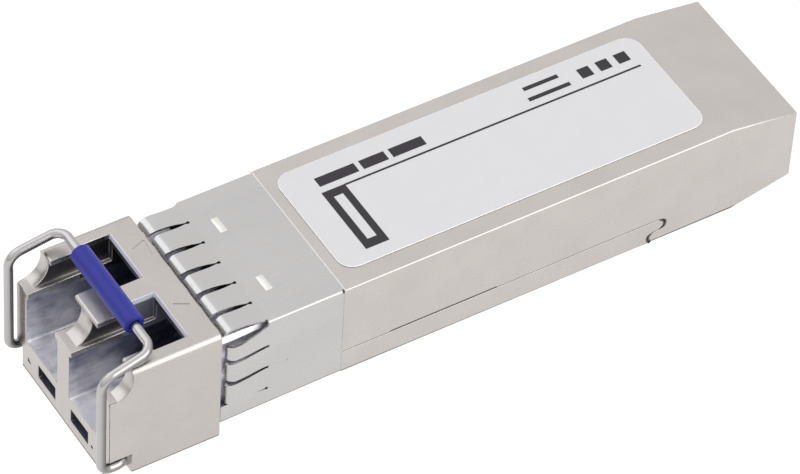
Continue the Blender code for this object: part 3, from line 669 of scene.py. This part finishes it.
def make_materials():
    return {
        "cast_nickel": metal("cast_nickel", (0.515, 0.492, 0.477), 0.3, grain_depth=0.002),
        "cast_head": metal("cast_head", (0.487, 0.464, 0.451), 0.3, grain_depth=0.002),
        # Painted light and shade in the ports: near white to the front and floor, dark blue-grey
        # deeper in.
        "bay_painted_light_and_shade": bay_metal_painted_light_and_shade("bay_painted_light_and_shade", (0.97, 0.97, 1.0), (0.22, 0.228, 0.35), 0.4),
        "cast_hook": metal("cast_hook", (0.52, 0.505, 0.495), 0.46, grain=0.3, grain_depth=0.02),
        # Painted shade: a dark colour on the walls under the hooks and in the channels.
        "recess_painted_shade": metal(
            "recess_painted_shade", (0.11, 0.105, 0.11), 0.4, grain=0.3, grain_depth=0.01,
        ),
        # Painted shade in the sill slots, dark blue-grey.
        "slot_painted_shade": metal("slot_painted_shade", (0.25, 0.26, 0.33), 0.4, grain=0.3, grain_depth=0.01),
        # Painted light on the neck, which lies in the collar's shade.
        "neck_painted_light": metal("neck_painted_light", (0.88, 0.88, 0.95), 0.5, grain=0.3),
        # Painted light on the windows' walls under the roof.
        "rim_painted_light": metal("rim_painted_light", (0.7, 0.72, 0.85), 0.6, grain=0.3, metallic=0.15),
        # Painted shade on the right window's wall beside the divider.
        "wall_painted_shade": metal("wall_painted_shade", (0.15, 0.155, 0.2), 0.5, grain=0.3, metallic=0.15),
        # Painted shadow: a thin dark line along lower edges and seams.
        "edge_painted_shadow": metal("edge_painted_shadow", (0.13, 0.122, 0.118), 0.45),
        "sheet_steel": metal(
            "sheet_steel", (0.50, 0.50, 0.505), 0.26, grain=0.3, grain_depth=0.0015,
            stretch=(1, 0.2, 1),
        ),
        # Lighter than the sheet: a painted highlight on the coined tabs.
        "coined_steel_painted_highlight": metal(
            "coined_steel_painted_highlight", (0.7, 0.695, 0.67), 0.35, grain=0.3, grain_depth=0.002,
        ),
        # The wire's second colour is painted shade on its downward and rearward side.
        "wire_steel": wire_metal_painted_shade("wire_steel", (0.44, 0.435, 0.44), (0.085, 0.08, 0.09), 0.22),
        "blue_plastic": plastic("blue_plastic", (0.0122, 0.016, 0.228), 0.36, specular=0.33),
        "label_film": plastic("label_film", (0.545, 0.545, 0.565), 0.5, share=0.01),
        # Painted highlight: the label's edge near white.
        "label_edge_painted_highlight": plastic("label_edge_painted_highlight", (0.95, 0.95, 0.97), 0.5, share=0.01),
        "label_ink": plastic("label_ink", (0.018, 0.016, 0.022), 0.45, specular=0.35),
        "spring_steel": metal("spring_steel", (0.52, 0.52, 0.53), 0.3, stretch=(1, 0.25, 1)),
        "stainless": metal("stainless", (0.55, 0.55, 0.57), 0.25, grain=0.08),
        "ceramic": plastic("ceramic", (0.80, 0.79, 0.75), 0.25, share=0.02),
        "gold": metal("gold", (0.83, 0.58, 0.22), 0.22, grain=0.1),
        "board_green": plastic("board_green", (0.02, 0.12, 0.045), 0.35, grain=0.25, share=0.12),
        "chip_black": plastic("chip_black", (0.018, 0.018, 0.02), 0.5, grain=0.05),
        "flex_amber": plastic("flex_amber", (0.42, 0.18, 0.035), 0.3, grain=0.3),
        "chip_ceramic": plastic("chip_ceramic", (0.40, 0.31, 0.22), 0.45, grain=0.06),
        "pad_grey": plastic("pad_grey", (0.33, 0.40, 0.48), 0.75, grain=0.12, depth=0.01),
        "gasket_black": plastic(
            "gasket_black", (0.035, 0.035, 0.04), 0.85, grain=0.12, depth=0.02,
        ),
    }


# ---- Head ------------------------------------------------------------------------------

# Centre of the hooks' rounded noses, which touch both the notch and the head's top
NOSE_Z = HEAD_TOP - HOOK_NOSE_ROUND
NOSE_Y = NOTCH_Y + math.sqrt((NOTCH_RADIUS + HOOK_NOSE_ROUND) ** 2 - (NOSE_Z - NOTCH_Z) ** 2)


def notch_cutter(front):
    """The round notch between the ledges and the hooks, across the full width."""
    over = HEAD_TOP + OVER
    start = -math.degrees(math.asin((NOTCH_Z - LEDGE_Z) / NOTCH_RADIUS))
    meets = math.degrees(math.atan2(NOSE_Z - NOTCH_Z, NOSE_Y - NOTCH_Y))
    outline = [(front, LEDGE_Z)]
    outline += arc(NOTCH_Y, NOTCH_Z, NOTCH_RADIUS, start, meets, 30)
    outline += arc(NOSE_Y, NOSE_Z, HOOK_NOSE_ROUND, meets + 180, 90, 10)[1:]
    outline += [(NOSE_Y, over), (front, over)]
    return prism("notch", outline, -HEAD_HALF - OVER, HEAD_HALF + OVER, "X")


def bay_cutters(front):
    """The two bays and, over each, the window and the room under and between the hooks."""
    def bay(side, low, high):
        corner, floor = BAY_CORNER, BAY_FLOOR + BAY_CORNER
        outline = [(low, BAY_ROOF)] + arc(low + corner, floor, corner, 180, 270, 5)
        outline += arc(high - corner, floor, corner, 270, 360, 5) + [(high, BAY_ROOF)]
        return prism(f"bay_{side}", outline, front, BAY_REAR, "Y")

    over = HEAD_TOP + OVER
    cutters = mirrored(bay, WALL_INNER, BAY_OUTER)
    for name, low, high in (
        ("window", (WALL_INNER, HOOK_REAR - 0.1, LEDGE_Z), (WINDOW_OUTER, WINDOW_REAR, over)),
        ("channel", (SHELF_INNER, front, CHANNEL_LOW), (SHELF_OUTER, CHANNEL_REAR, GROOVE_TOP)),
        ("groove", (WALL_INNER, front, LEDGE_Z), (WINDOW_OUTER, WINDOW_REAR, GROOVE_TOP)),
        ("relief", (WALL_INNER, front, LEDGE_Z), (WINDOW_OUTER, HOOK_REAR, HOOK_BELOW)),
        ("gate", (HOOK_INNER, front, LEDGE_Z), (SHELF_OUTER, HOOK_REAR, over)),
    ):
        cutters += blocks_both_sides(name, low, high)
    return cutters


def neck_bar():
    """The neck behind the head, with its two upper edges chamfered."""
    side, slope = NECK_HALF, NECK_HALF - NECK_CHAMFER
    shoulder = NECK_TOP - NECK_CHAMFER
    outline = [
        (-side, NECK_BOTTOM), (side, NECK_BOTTOM), (side, shoulder),
        (slope, NECK_TOP), (-slope, NECK_TOP), (-side, shoulder),
    ]
    return prism("neck", outline, HEAD_REAR - 0.5, NECK_REAR, "Y")


def under_cutters():
    """Room for the rocker under the head, deeper towards its tail."""
    low, high = span("latch_rocker")
    under = HEAD_BOTTOM - OVER
    stretches = [
        ("bar", high.x + ROCKER_CLEAR, low.y - ROCKER_CLEAR, SLOT_REAR, ROCKER_ROOF),
        ("beam", ROCKER_SIDE, low.y, ROCKER_BEAM_REAR, ROCKER_ROOF),
        ("hub", ROCKER_SIDE, ROCKER_HUB_FRONT, BAY_REAR + 0.4, ROCKER_HUB_ROOF),
        ("arm", ROCKER_SIDE, BAY_REAR + 0.3, high.y + ROCKER_CLEAR, ROCKER_ARM_ROOF),
    ]
    return [
        block(f"rocker_{name}", (-side, front, under), (side, rear, roof))
        for name, side, front, rear, roof in stretches
    ]


def stroke(name, start, end, low_z, high_z):
    """A thin straight bar in plan, from one point to another."""
    start, end = Vector(start), Vector(end)
    along = (end - start).normalized()
    across = Vector((-along.y, along.x)) * MARK_WIDTH / 2
    outline = [start - across, end - across, end + across, start + across]
    return prism(name, [tuple(point) for point in outline], low_z, high_z, "Z")


def mark_cutters(front):
    """Thin engraved strokes over the ports, and a small pit and a dot in the sill."""
    heights = (HEAD_TOP - MARK_DEPTH, HEAD_TOP + OVER)
    return [
        stroke("mark_angle_front", *MARK_ANGLE[:2], *heights),
        stroke("mark_angle_side", *MARK_ANGLE[1:], *heights),
        stroke("mark_line", *MARK_LINE, *heights),
        rod(
            "sill_hole", (SILL_HOLE_RADIUS,) * 2, (front, HEAD_FRONT + SILL_HOLE_DEPTH),
            SILL_HOLE, "Y", sides=20,
        ),
        prism("sill_pit", SILL_PIT, front, HEAD_FRONT + SILL_PIT_DEPTH, "Y"),
    ]


def on_long_top_edge(middle):
    return abs(middle.x) > HEAD_HALF - NEAR and middle.z > HEAD_TOP - NEAR


def on_ledge_edge(middle):
    return abs(middle.x) > HEAD_HALF - NEAR and abs(middle.z - LEDGE_Z) < NEAR


def on_front_low_edge(middle):
    return middle.y < HEAD_FRONT + NEAR and middle.z < HEAD_BOTTOM + NEAR


def on_long_low_edge(middle):
    return abs(middle.x) > HEAD_HALF - NEAR and middle.z < HEAD_BOTTOM + NEAR


def in_bay(middle, normal):
    x, y, z = middle
    across = WALL_INNER - NEAR < abs(x) < BAY_OUTER + NEAR
    along = HEAD_FRONT + 0.1 < y < BAY_REAR - 0.1
    return across and along and BAY_FLOOR - NEAR < z < BAY_ROOF + NEAR


def in_recess(middle, normal):
    """The walls under the hooks, and the channels under the windows, which get painted shade."""
    x, y, z = middle
    if abs(x) > WINDOW_OUTER + NEAR or not HEAD_FRONT + 1.2 < y < CHANNEL_REAR + NEAR:
        return False
    if y < HOOK_REAR:
        beneath = LEDGE_Z + 0.1 < z < HOOK_BELOW + NEAR
        return beneath and (abs(normal.x) > 0.5 or normal.z < -0.9)
    return CHANNEL_LOW - 0.05 < z < GROOVE_TOP + NEAR and abs(normal.z) < 0.5


def on_lit_wall(middle, normal):
    """The right window's wall beside the divider, which gets a painted shade lighter than the
    recess.
    """
    beside = HOOK_REAR < middle.y and 0 < middle.x < HOOK_INNER + 0.1 and middle.z > LEDGE_Z
    return beside and in_recess(middle, normal)


def on_window_rim(middle, normal):
    """The windows' walls just under the roof, but for the left one's outer wall: they get a
    painted light.
    """
    x, y, z = middle
    across = 0.05 - WINDOW_OUTER < x < WINDOW_OUTER + 0.05
    along = HOOK_REAR - 0.05 < y < WINDOW_REAR + 0.05
    return across and along and z > WINDOW_RIM_Z and abs(normal.z) < 0.5


def in_sill_slot(middle, normal):
    x, y, z = middle
    across = SLOT_INNER - 0.1 < abs(x) < SLOT_OUTER + 0.1
    along = HEAD_FRONT + 0.1 < y < SLOT_REAR + 0.1
    return across and along and SLOT_LOW - 0.1 < z < SLOT_HIGH + 0.1


def on_hook_top(middle, normal):
    along = NOSE_Y - NEAR < middle.y < HOOK_REAR
    return along and middle.z > HEAD_TOP - 0.02 and normal.z > 0.9


def on_neck(middle, normal):
    return middle.y > HEAD_REAR + 0.02


def faces_low_and_out(normal):
    """Whether a face belongs to the rounding along the lower edge of a side, where a shadow line
    is painted.
    """
    return -0.98 < normal.z < -0.05 and abs(normal.x) > 0.15


def on_head_low_corner(middle, normal):
    return middle.z < HEAD_BOTTOM + HEAD_LOW_ROUND and faces_low_and_out(normal)


def build_head(materials):
    front = HEAD_FRONT - OVER
    head = block(
        "nose_housing_casting",
        (-HEAD_HALF, HEAD_FRONT, HEAD_BOTTOM), (HEAD_HALF, HEAD_REAR, HEAD_TOP),
    )
    round_edges(head, HEAD_TOP_ROUND, 7, on_long_top_edge)
    round_edges(head, HEAD_LOW_ROUND, 5, on_long_low_edge)
    join(head, neck_bar())
    cut(head, notch_cutter(front))
    tidy_faces(head)
    round_edges(head, LEDGE_ROUND, 5, on_ledge_edge)
    cut(head, *bay_cutters(front))
    cut(head, *blocks_both_sides(
        "sill_slot", (SLOT_INNER, front, SLOT_LOW), (SLOT_OUTER, SLOT_REAR, SLOT_HIGH),
    ))
    cut(head, *blocks_both_sides(
        "arm_pocket", (ARM_POCKET_X, front, HEAD_BOTTOM - OVER),
        (HEAD_HALF + OVER, ARM_POCKET_REAR, ARM_POCKET_TOP),
    ))
    cut(head, block(
        "cradle", (-CRADLE_HALF, BULKHEAD_REAR, CRADLE_FLOOR),
        (CRADLE_HALF, NECK_REAR + OVER, NECK_TOP + OVER),
    ))
    cut(head, block(
        "neck_step", (-NECK_HALF - OVER, NECK_STEP_Y, NECK_BOTTOM - OVER),
        (NECK_HALF + OVER, NECK_REAR + OVER, NECK_STEP_Z),
    ))
    barrel_low, barrel_high = span("receive_receptacle")
    port_x = (barrel_low.x + barrel_high.x) / 2
    port_z = (barrel_low.z + barrel_high.z) / 2
    for side in (-1, 1):
        cut(head, rod(
            f"barrel_{side}", (BARREL_HOLE,) * 2, (BAY_REAR - 0.5, BULKHEAD_REAR + 0.5),
            (side * port_x, port_z), "Y",
        ))
    cut(head, *under_cutters())
    for side in (-1, 1):
        ends = side_ends(side, SHAFT_END - PIVOT_DEPTH, HEAD_HALF)
        radii = (WIRE_RADIUS + PIVOT_PLAY,) * 2
        cut(head, rod(f"pivot_{side}", radii, ends, (PIVOT_Y, PIVOT_Z), "X"))
    tidy_faces(head)
    # A painted shadow strip along the front's lower edge.
    mark_edges(head, FRONT_SHADOW_WIDTH, on_front_low_edge)
    round_edges(head, HEAD_EDGE_ROUND, 3)
    for cutter in mark_cutters(front):
        cut(head, cutter)
    tidy_faces(head, flat_deg=0.2)
    split_across(head, "Z", WINDOW_RIM_Z)
    split_across(head, "Y", HOOK_REAR)
    finish_piece(
        head, materials["cast_head"], "housing", ["nose_housing"],
        marked=materials["edge_painted_shadow"],
    )
    # Painted light and shade on the head's inner faces and along its lower corners.
    for look, chosen in (
        ("bay_painted_light_and_shade", in_bay), ("recess_painted_shade", in_recess), ("wall_painted_shade", on_lit_wall),
        ("cast_hook", on_hook_top), ("slot_painted_shade", in_sill_slot), ("neck_painted_light", on_neck),
        ("rim_painted_light", on_window_rim), ("edge_painted_shadow", on_head_low_corner),
    ):
        paint(head, materials[look], chosen)


# ---- Collar ----------------------------------------------------------------------------

def finger_profile():
    """Pairs of y and how far the sheet stands out: flat, the rise, the crest, the curl."""
    rows = [(COLLAR_REAR, 0.0), (FINGER_START, 0.0)]
    steps = 10
    for step in range(1, steps + 1):
        share = step / steps
        rise = share * share * (3 - 2 * share)
        rows.append((FINGER_START + (FINGER_CREST_Y - FINGER_START) * share, FINGER_CREST * rise))
    for step in range(1, steps + 1):
        turn = math.radians(FINGER_CURL_DEG * step / steps)
        rows.append((
            FINGER_CREST_Y - FINGER_CURL * math.sin(turn),
            FINGER_CREST - FINGER_CURL * (1 - math.cos(turn)),
        ))
    return rows


def collar_half_ring(y, out, front):
    """The +X half of the sheet's section from the bottom up. Below STRIP_TOP it runs straight."""
    share = (y - COLLAR_REAR) / (front - COLLAR_REAR)
    strip_y = COLLAR_REAR + (STRIP_FRONT - COLLAR_REAR) * share
    drop = STRIP_DROP[0] + (STRIP_DROP[1] - STRIP_DROP[0]) * share
    side, roof, corner = COLLAR_SIDE, COLLAR_ROOF, COLLAR_CORNER
    low = arc(side - corner, corner - drop, corner, 270, 360, COLLAR_CORNER_STEPS)
    low.append((side, STRIP_TOP - STRIP_GAP / 2))
    high = [(side + out, STRIP_TOP + STRIP_GAP / 2)]
    high += arc(side + out - corner, roof + out - corner, corner, 0, 90, COLLAR_CORNER_STEPS)
    return [(x, strip_y, z) for x, z in low] + [(x, y, z) for x, z in high]


def collar_skin():
    """The collar's outer face, ring by ring from its rear to the fingers' tips."""
    bm = bmesh.new()
    rows = finger_profile()
    rings = []
    for y, out in rows:
        half = collar_half_ring(y, out, rows[-1][0])
        whole = half + [(-x, v, w) for x, v, w in reversed(half)]
        rings.append([bm.verts.new(point) for point in whole])
    # The strips beside the floor part from the fingers: the sheet has no face in that gap.
    gaps = (STRIP_POINTS - 1, 2 * len(half) - STRIP_POINTS - 1)
    for row, (ring, following) in enumerate(zip(rings, rings[1:])):
        for i in range(len(ring)):
            if row > 0 and i in gaps:
                continue
            j = (i + 1) % len(ring)
            bm.faces.new((ring[i], ring[j], following[j], following[i]))
    return add_shape("emi_collar_sheet", bm)


def slot_outline(root_v, stations):
    """A slot centred on u = 0: a round root, then pairs of v and half width to its front."""
    outline = arc(0, root_v, SLOT_ROOT, -50, 230, 10)
    outline += [(-half, v) for v, half in stations]
    return outline + [(half, v) for v, half in reversed(stations)]


def top_slot(name, x, low_z, high_z):
    outline = [(u + x, v) for u, v in slot_outline(FINGER_ROOT, TOP_SLOT)]
    return prism(name, outline, low_z, high_z, "Z")


def side_slot(name, side, z, stations):
    outline = [(v, u + z) for u, v in slot_outline(SIDE_ROOT, stations)]
    return prism(name, outline, *side_ends(side, BODY_HALF - OVER, BODY_HALF + OVER), "X")


def corner_cutters(side):
    """Opens the top corner: each finger beside it gets narrower from its root to its tip."""
    over, out = BODY_TOP + OVER, side * (BODY_HALF + OVER)
    top = [(out, FINGER_ROOT_CORNER)] + [(side * x, y) for y, x in CORNER_TOP]
    top += [(out, CORNER_TOP[-1][0])]
    beside = [(FINGER_ROOT_CORNER, over)] + CORNER_SIDE + [(CORNER_SIDE[-1][0], over)]
    ends = side_ends(side, BODY_HALF - CORNER_DEPTH, BODY_HALF + OVER)
    return [
        prism(f"corner_top_{side}", top, BODY_TOP - CORNER_DEPTH, over, "Z"),
        prism(f"corner_side_{side}", beside, *ends, "X"),
    ]


def on_collar_low_corner(middle, normal):
    x, _, z = middle
    return z < COLLAR_CORNER and abs(x) > BODY_HALF - COLLAR_CORNER and faces_low_and_out(normal)


def build_collar(materials):
    collar = collar_skin()
    thicken = collar.modifiers.new("sheet", "SOLIDIFY")
    thicken.thickness = SHEET
    thicken.offset = -1.0
    thicken.use_even_offset = True
    cutters = []
    for column in range(-2, 3):
        x = column * FINGER_PITCH
        cutters.append(top_slot(f"top_slot_{column}", x, BODY_TOP - OVER, BODY_TOP + OVER))
        if abs(column) == 2:
            cutters.append(top_slot(f"low_slot_{column}", x, -OVER, OVER))
    for side in (-1, 1):
        for row, z in enumerate(SIDE_SLOTS_Z):
            cutters.append(side_slot(f"side_slot_{side}_{row}", side, z, SIDE_SLOT))
        ends = side_ends(side, BODY_HALF - OVER, BODY_HALF + OVER)
        cutters.append(rod(
            f"strip_root_{side}", (SLOT_ROOT,) * 2, ends, (SIDE_ROOT, STRIP_TOP), "X", sides=20,
        ))
        cutters += corner_cutters(side)
        ends = side_ends(side, BODY_HALF - DIMPLE_DEPTH, BODY_HALF + OVER)
        cutters.append(rod(f"dimple_{side}", (DIMPLE_RADIUS,) * 2, ends, DIMPLE, "X", sides=16))
    cutters += blocks_both_sides(
        "corner_gap",
        (BODY_HALF - 0.24, -0.14, BODY_TOP - 0.3), (BODY_HALF + 0.1, OVER, BODY_TOP + 0.1),
    )
    cutters.append(block(
        "latch_window", (-LATCH_WINDOW_X, HEAD_REAR - OVER, -OVER),
        (LATCH_WINDOW_X, LATCH_WINDOW_REAR, OVER),
    ))
    half = BODY_HALF - FLOOR_WINDOW_SIDE
    cutters.append(block(
        "floor_window", (-half, FLOOR_FRONT_Y, -OVER), (half, OVER, OVER),
    ))
    cut(collar, *cutters)
    tidy_faces(collar, flat_deg=0.1)
    finish_piece(collar, materials["sheet_steel"], "housing", ["emi_collar"])
    # A painted shadow line along the lower corners.
    paint(collar, materials["edge_painted_shadow"], on_collar_low_corner)


def build_collar_tabs(materials):
    """Two small coined tabs on the collar's roof, each a little proud at its rear."""
    front, rear = TAB_Y - TAB_LENGTH / 2, TAB_Y + TAB_LENGTH / 2
    foot, front_top, rear_top = (COLLAR_ROOF + height for height in TAB_HEIGHTS)
    outline = [(front, foot), (rear, foot), (rear, rear_top), (front, front_top)]
    for side, name in ((-1, "left"), (1, "right")):
        x, half = side * TAB_X, TAB_WIDTH / 2
        tab = prism(f"collar_tab_{name}", outline, x - half, x + half, "X")
        round_edges(tab, 0.02, 2)
        # The tabs' lighter colour is a painted highlight.
        finish_piece(tab, materials["coined_steel_painted_highlight"], "housing", [])


# ---- Covers and label ------------------------------------------------------------------

def on_roof_edge(middle):
    return abs(middle.x) > BODY_HALF - NEAR and middle.z > ROOF_EDGE_LOW


def on_front_roof_edge(middle):
    return middle.y < NEAR and middle.z > BODY_TOP - NEAR


def on_low_edge(middle):
    """The side walls' lower edges, the seam where it stands open and the hook's two curls: they
    get a painted shadow line.
    """
    x, y, z = middle
    if abs(x) < BODY_HALF - NEAR or not NEAR < y < BODY_HIGH.y - NEAR:
        return False
    on_seam = abs(z - SEAM_Z) < 0.2 and SEAM_OPEN[0] < y < SEAM_OPEN[1]
    rear_curl = y > CURL_REAR_Y and CURL_TURN_Z < z < CURL_TOP_Z
    front_curl = CURL_FRONT_Y[0] < y < CURL_FRONT_Y[1] and z < CURL_TURN_Z
    return z < NEAR or on_seam or rear_curl or front_curl


def build_covers(materials):
    top = copy_of("top_cover", "top_cover_shell")
    round_edges(top, ROOF_ROUND, 5, on_roof_edge)
    round_edges(top, ROOF_FRONT_ROUND, 4, on_front_roof_edge)
    for y in SEAM_OPEN:
        split_across(top, "Y", y)
    bottom = copy_of("bottom_cover", "bottom_cover_shell")
    for node, cover in (("top_cover", top), ("bottom_cover", bottom)):
        # A painted shadow line along the lower edges, the open seam and the hook's curls.
        mark_edges(cover, LOW_EDGE_SHADOW_WIDTH, on_low_edge)
        round_edges(cover, COVER_EDGE_ROUND, 2, sharper_than=50)
        finish_piece(
            cover, materials["cast_nickel"], "housing", [node],
            marked=materials["edge_painted_shadow"],
        )


def print_bar(name, low, high, material, layer=1):
    """A printed bar on the label: a thin solid, proud of the film by the ink's thickness."""
    base = LABEL_HIGH.z
    bar = block(name, (*low, base - PRINT_THICK), (*high, base + layer * PRINT_THICK))
    return finish_piece(bar, material, "housing", [])


def build_label(materials):
    outline = rounded_rectangle(
        (LABEL_LOW.x, LABEL_LOW.y), (LABEL_HIGH.x, LABEL_HIGH.y), LABEL_CORNER, 16,
    )
    label = prism("label_film_sheet", outline, LABEL_LOW.z, LABEL_HIGH.z, "Z")
    round_edges(label, LABEL_EDGE_ROUND, 3)
    finish_piece(label, materials["label_film"], "housing", ["label"])
    # The label's edge is painted near white: a painted highlight.
    paint(label, materials["label_edge_painted_highlight"], lambda middle, normal: normal.z < 0.95)
    ink, film = materials["label_ink"], materials["label_film"]
    print_bar("label_rule", *PRINT_RULE, ink)
    print_bar("label_block", *PRINT_BLOCK, ink)
    print_bar("label_block_window", *PRINT_BLOCK_WINDOW, film, layer=2)
    x_low, x_high = PRINT_FRONT_X
    for index, (start, end) in enumerate(PRINT_BARS_FRONT):
        print_bar(f"label_bar_front_{index}", (x_low, start), (x_high, end), ink)
    for index, (low, high) in enumerate(PRINT_BARS_REAR):
        print_bar(f"label_bar_rear_{index}", low, high, ink)
    x_low, x_high = PRINT_SQUARE_X
    for index, start in enumerate(PRINT_SQUARES):
        print_bar(f"label_square_{index}", (x_low, start), (x_high, start + PRINT_SQUARE), ink)


# ---- Bail ------------------------------------------------------------------------------

def bail_corners():
    """The wire's centre line from pivot to pivot, as sharp corners."""
    half = [
        (SHAFT_END, PIVOT_Y, PIVOT_Z), (LEG_X, PIVOT_Y, PIVOT_Z), (LEG_X, LEG_Y, PIVOT_Z),
        (LEG_X, LEG_Y, LEG_TOP), (CROSS_X, CROSS_Y, CROSS_Z),
    ]
    return half + [(-x, y, z) for x, y, z in reversed(half)]


def build_wire(materials):
    curve = bpy.data.curves.new("bail_wire_path", "CURVE")
    curve.dimensions = "3D"
    curve.bevel_depth = WIRE_RADIUS
    curve.bevel_resolution = 6
    curve.use_fill_caps = True
    bends = [FOOT_BEND, FOOT_BEND, TOP_BEND, CROSS_BEND]
    path = rounded_path(bail_corners(), bends + bends[::-1], 16)
    spline = curve.splines.new("POLY")
    spline.points.add(len(path) - 1)
    for point, place in zip(spline.points, path):
        point.co = (*place, 1.0)
    guide = bpy.data.objects.new("bail_wire_guide", curve)
    bpy.context.scene.collection.objects.link(guide)
    bpy.context.view_layer.update()
    graph = bpy.context.evaluated_depsgraph_get()
    mesh = bpy.data.meshes.new_from_object(guide.evaluated_get(graph))
    bpy.data.objects.remove(guide, do_unlink=True)
    wire = bpy.data.objects.new("bail_wire_bent", mesh)
    bpy.context.scene.collection.objects.link(wire)
    tidy_faces(wire, weld=0.001, flat_deg=0.01)
    round_edges(wire, 0.06, 2, sharper_than=60)
    return finish_piece(wire, materials["wire_steel"], "bail", ["bail_wire"])


def build_sleeve(materials):
    ends = (SLEEVE_LOW.x, SLEEVE_HIGH.x)
    centre = (CROSS_Y, CROSS_Z)
    sleeve = rod("bail_sleeve_tube", (SLEEVE_RADIUS,) * 2, ends, centre, "X", sides=64)
    bore = rod(
        "sleeve_bore", (SLEEVE_BORE,) * 2, (ends[0] - OVER, ends[1] + OVER), centre, "X", sides=48,
    )
    cut(sleeve, bore)
    round_edges(sleeve, 0.1, 4, sharper_than=60)
    return finish_piece(sleeve, materials["blue_plastic"], "bail", ["bail_sleeve"])


# ---- Inner pieces ----------------------------------------------------------------------

def build_inner_pieces(materials):
    """The pieces that keep their CAD shape get softened edges and their own material."""
    done = {
        "nose_housing", "emi_collar", "top_cover", "bottom_cover", "label", "bail_wire",
        "bail_sleeve",
    }
    bodies = frame["record"]["behaviour"]["bodies"]
    body_of = {node: body for body, nodes in bodies.items() for node in nodes}
    for row in frame["record"]["subparts"]:
        node, slot = row["node"], row["material_slot"]
        if node in done:
            continue
        piece = copy_of(node, node + "_fine")
        low, high = span(node)
        radius = min(0.05, min(high - low) * 0.15)
        round_edges(piece, radius, 2, sharper_than=50)
        finish_piece(piece, materials[slot], body_of[node], [node])
        if node == "latch_spring":
            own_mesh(piece)


# ---- Stage -----------------------------------------------------------------------------

def build_floor():
    """A pale floor that the head's lower edge and the body's rear both rest on."""
    rear = Vector((0, FLOOR_REST_Y, 0))
    head = Vector((0, HEAD_REAR, HEAD_BOTTOM))
    slope = (rear - head).normalized()
    bm = bmesh.new()
    bm.faces.new([
        bm.verts.new(
            head + slope * v * FLOOR_HALF + Vector((u * FLOOR_HALF, 0, 0))
            + Vector((0, 0, -FLOOR_GAP))
        )
        for u, v in ((-1, -1), (1, -1), (1, 1), (-1, 1))
    ])
    floor = add_shape("floor", bm)
    floor.data.transform(Matrix.Scale(MM, 4))
    material, tree, shader = new_material("floor_paper")
    where = object_space(tree)
    fibre = spread(tree, noise(tree, where, 60.0), 0.0, 1.0)
    shade = blended(tree, fibre, (0.15, 0.14, 0.13), (0.17, 0.16, 0.15))
    tree.links.new(shade, shader.inputs["Base Color"])
    shader.inputs["Roughness"].default_value = 0.9
    shader.inputs["Emission Color"].default_value = (1.0, 0.99, 0.98, 1.0)
    shader.inputs["Emission Strength"].default_value = 0.95
    floor.data.materials.append(material)


def area_light(name, direction, distance, size, radiance, color):
    """A square softbox that faces the module from a direction."""
    data = bpy.data.lights.new(name, "AREA")
    data.shape = "SQUARE"
    data.size = size
    data.energy = radiance * math.pi * size * size
    data.color = color
    light = bpy.data.objects.new(name, data)
    bpy.context.scene.collection.objects.link(light)
    toward = Vector(direction).normalized()
    light.location = toward * distance + Vector((0, 0.01, 0))
    light.rotation_euler = toward.to_track_quat("Z", "Y").to_euler()


def build_light():
    """A white room, dimmer low down, and two softboxes."""
    world = bpy.data.worlds.new("studio")
    bpy.context.scene.world = world
    world.use_nodes = True
    background = world.node_tree.nodes["Background"]
    background.inputs["Color"].default_value = (1.0, 0.985, 0.97, 1.0)
    tree = world.node_tree
    source = add_node(tree, "ShaderNodeTexCoord")
    split = add_node(tree, "ShaderNodeSeparateXYZ")
    tree.links.new(source.outputs["Generated"], split.inputs["Vector"])
    height = ramp(tree, split.outputs["Z"], 0.05, 0.4, 0.62, 1.08)
    tree.links.new(height, background.inputs["Strength"])
    area_light("softbox_right_rear", (0.75, 0.38, 0.55), 0.5, 0.46, 1.6, (1.0, 0.98, 0.94))
    area_light("softbox_front_left", (-0.57, -0.37, 0.73), 0.5, 0.5, 0.65, (0.92, 0.95, 1.0))


def build_camera():
    azimuth, elevation = math.radians(VIEW_AZIMUTH), math.radians(VIEW_ELEVATION)
    back = Vector((
        math.sin(azimuth) * math.cos(elevation), -math.cos(azimuth) * math.cos(elevation),
        math.sin(elevation),
    ))
    data = bpy.data.cameras.new("camera")
    data.lens = LENS
    data.sensor_width = 36.0
    data.clip_start, data.clip_end = 0.01, 10.0
    camera = bpy.data.objects.new("camera", data)
    bpy.context.scene.collection.objects.link(camera)
    camera.location = (Vector(VIEW_AIM) + back * VIEW_DISTANCE) * MM
    camera.rotation_mode = "QUATERNION"
    level = (-back).to_track_quat("-Z", "Y")
    camera.rotation_quaternion = level @ Quaternion((0, 0, 1), math.radians(VIEW_ROLL))
    bpy.context.scene.camera = camera


def main():
    bpy.context.scene.view_settings.view_transform = "Standard"
    materials = make_materials()
    build_head(materials)
    build_collar(materials)
    build_collar_tabs(materials)
    build_covers(materials)
    build_label(materials)
    build_wire(materials)
    build_sleeve(materials)
    build_inner_pieces(materials)
    build_floor()
    build_light()
    build_camera()


main()
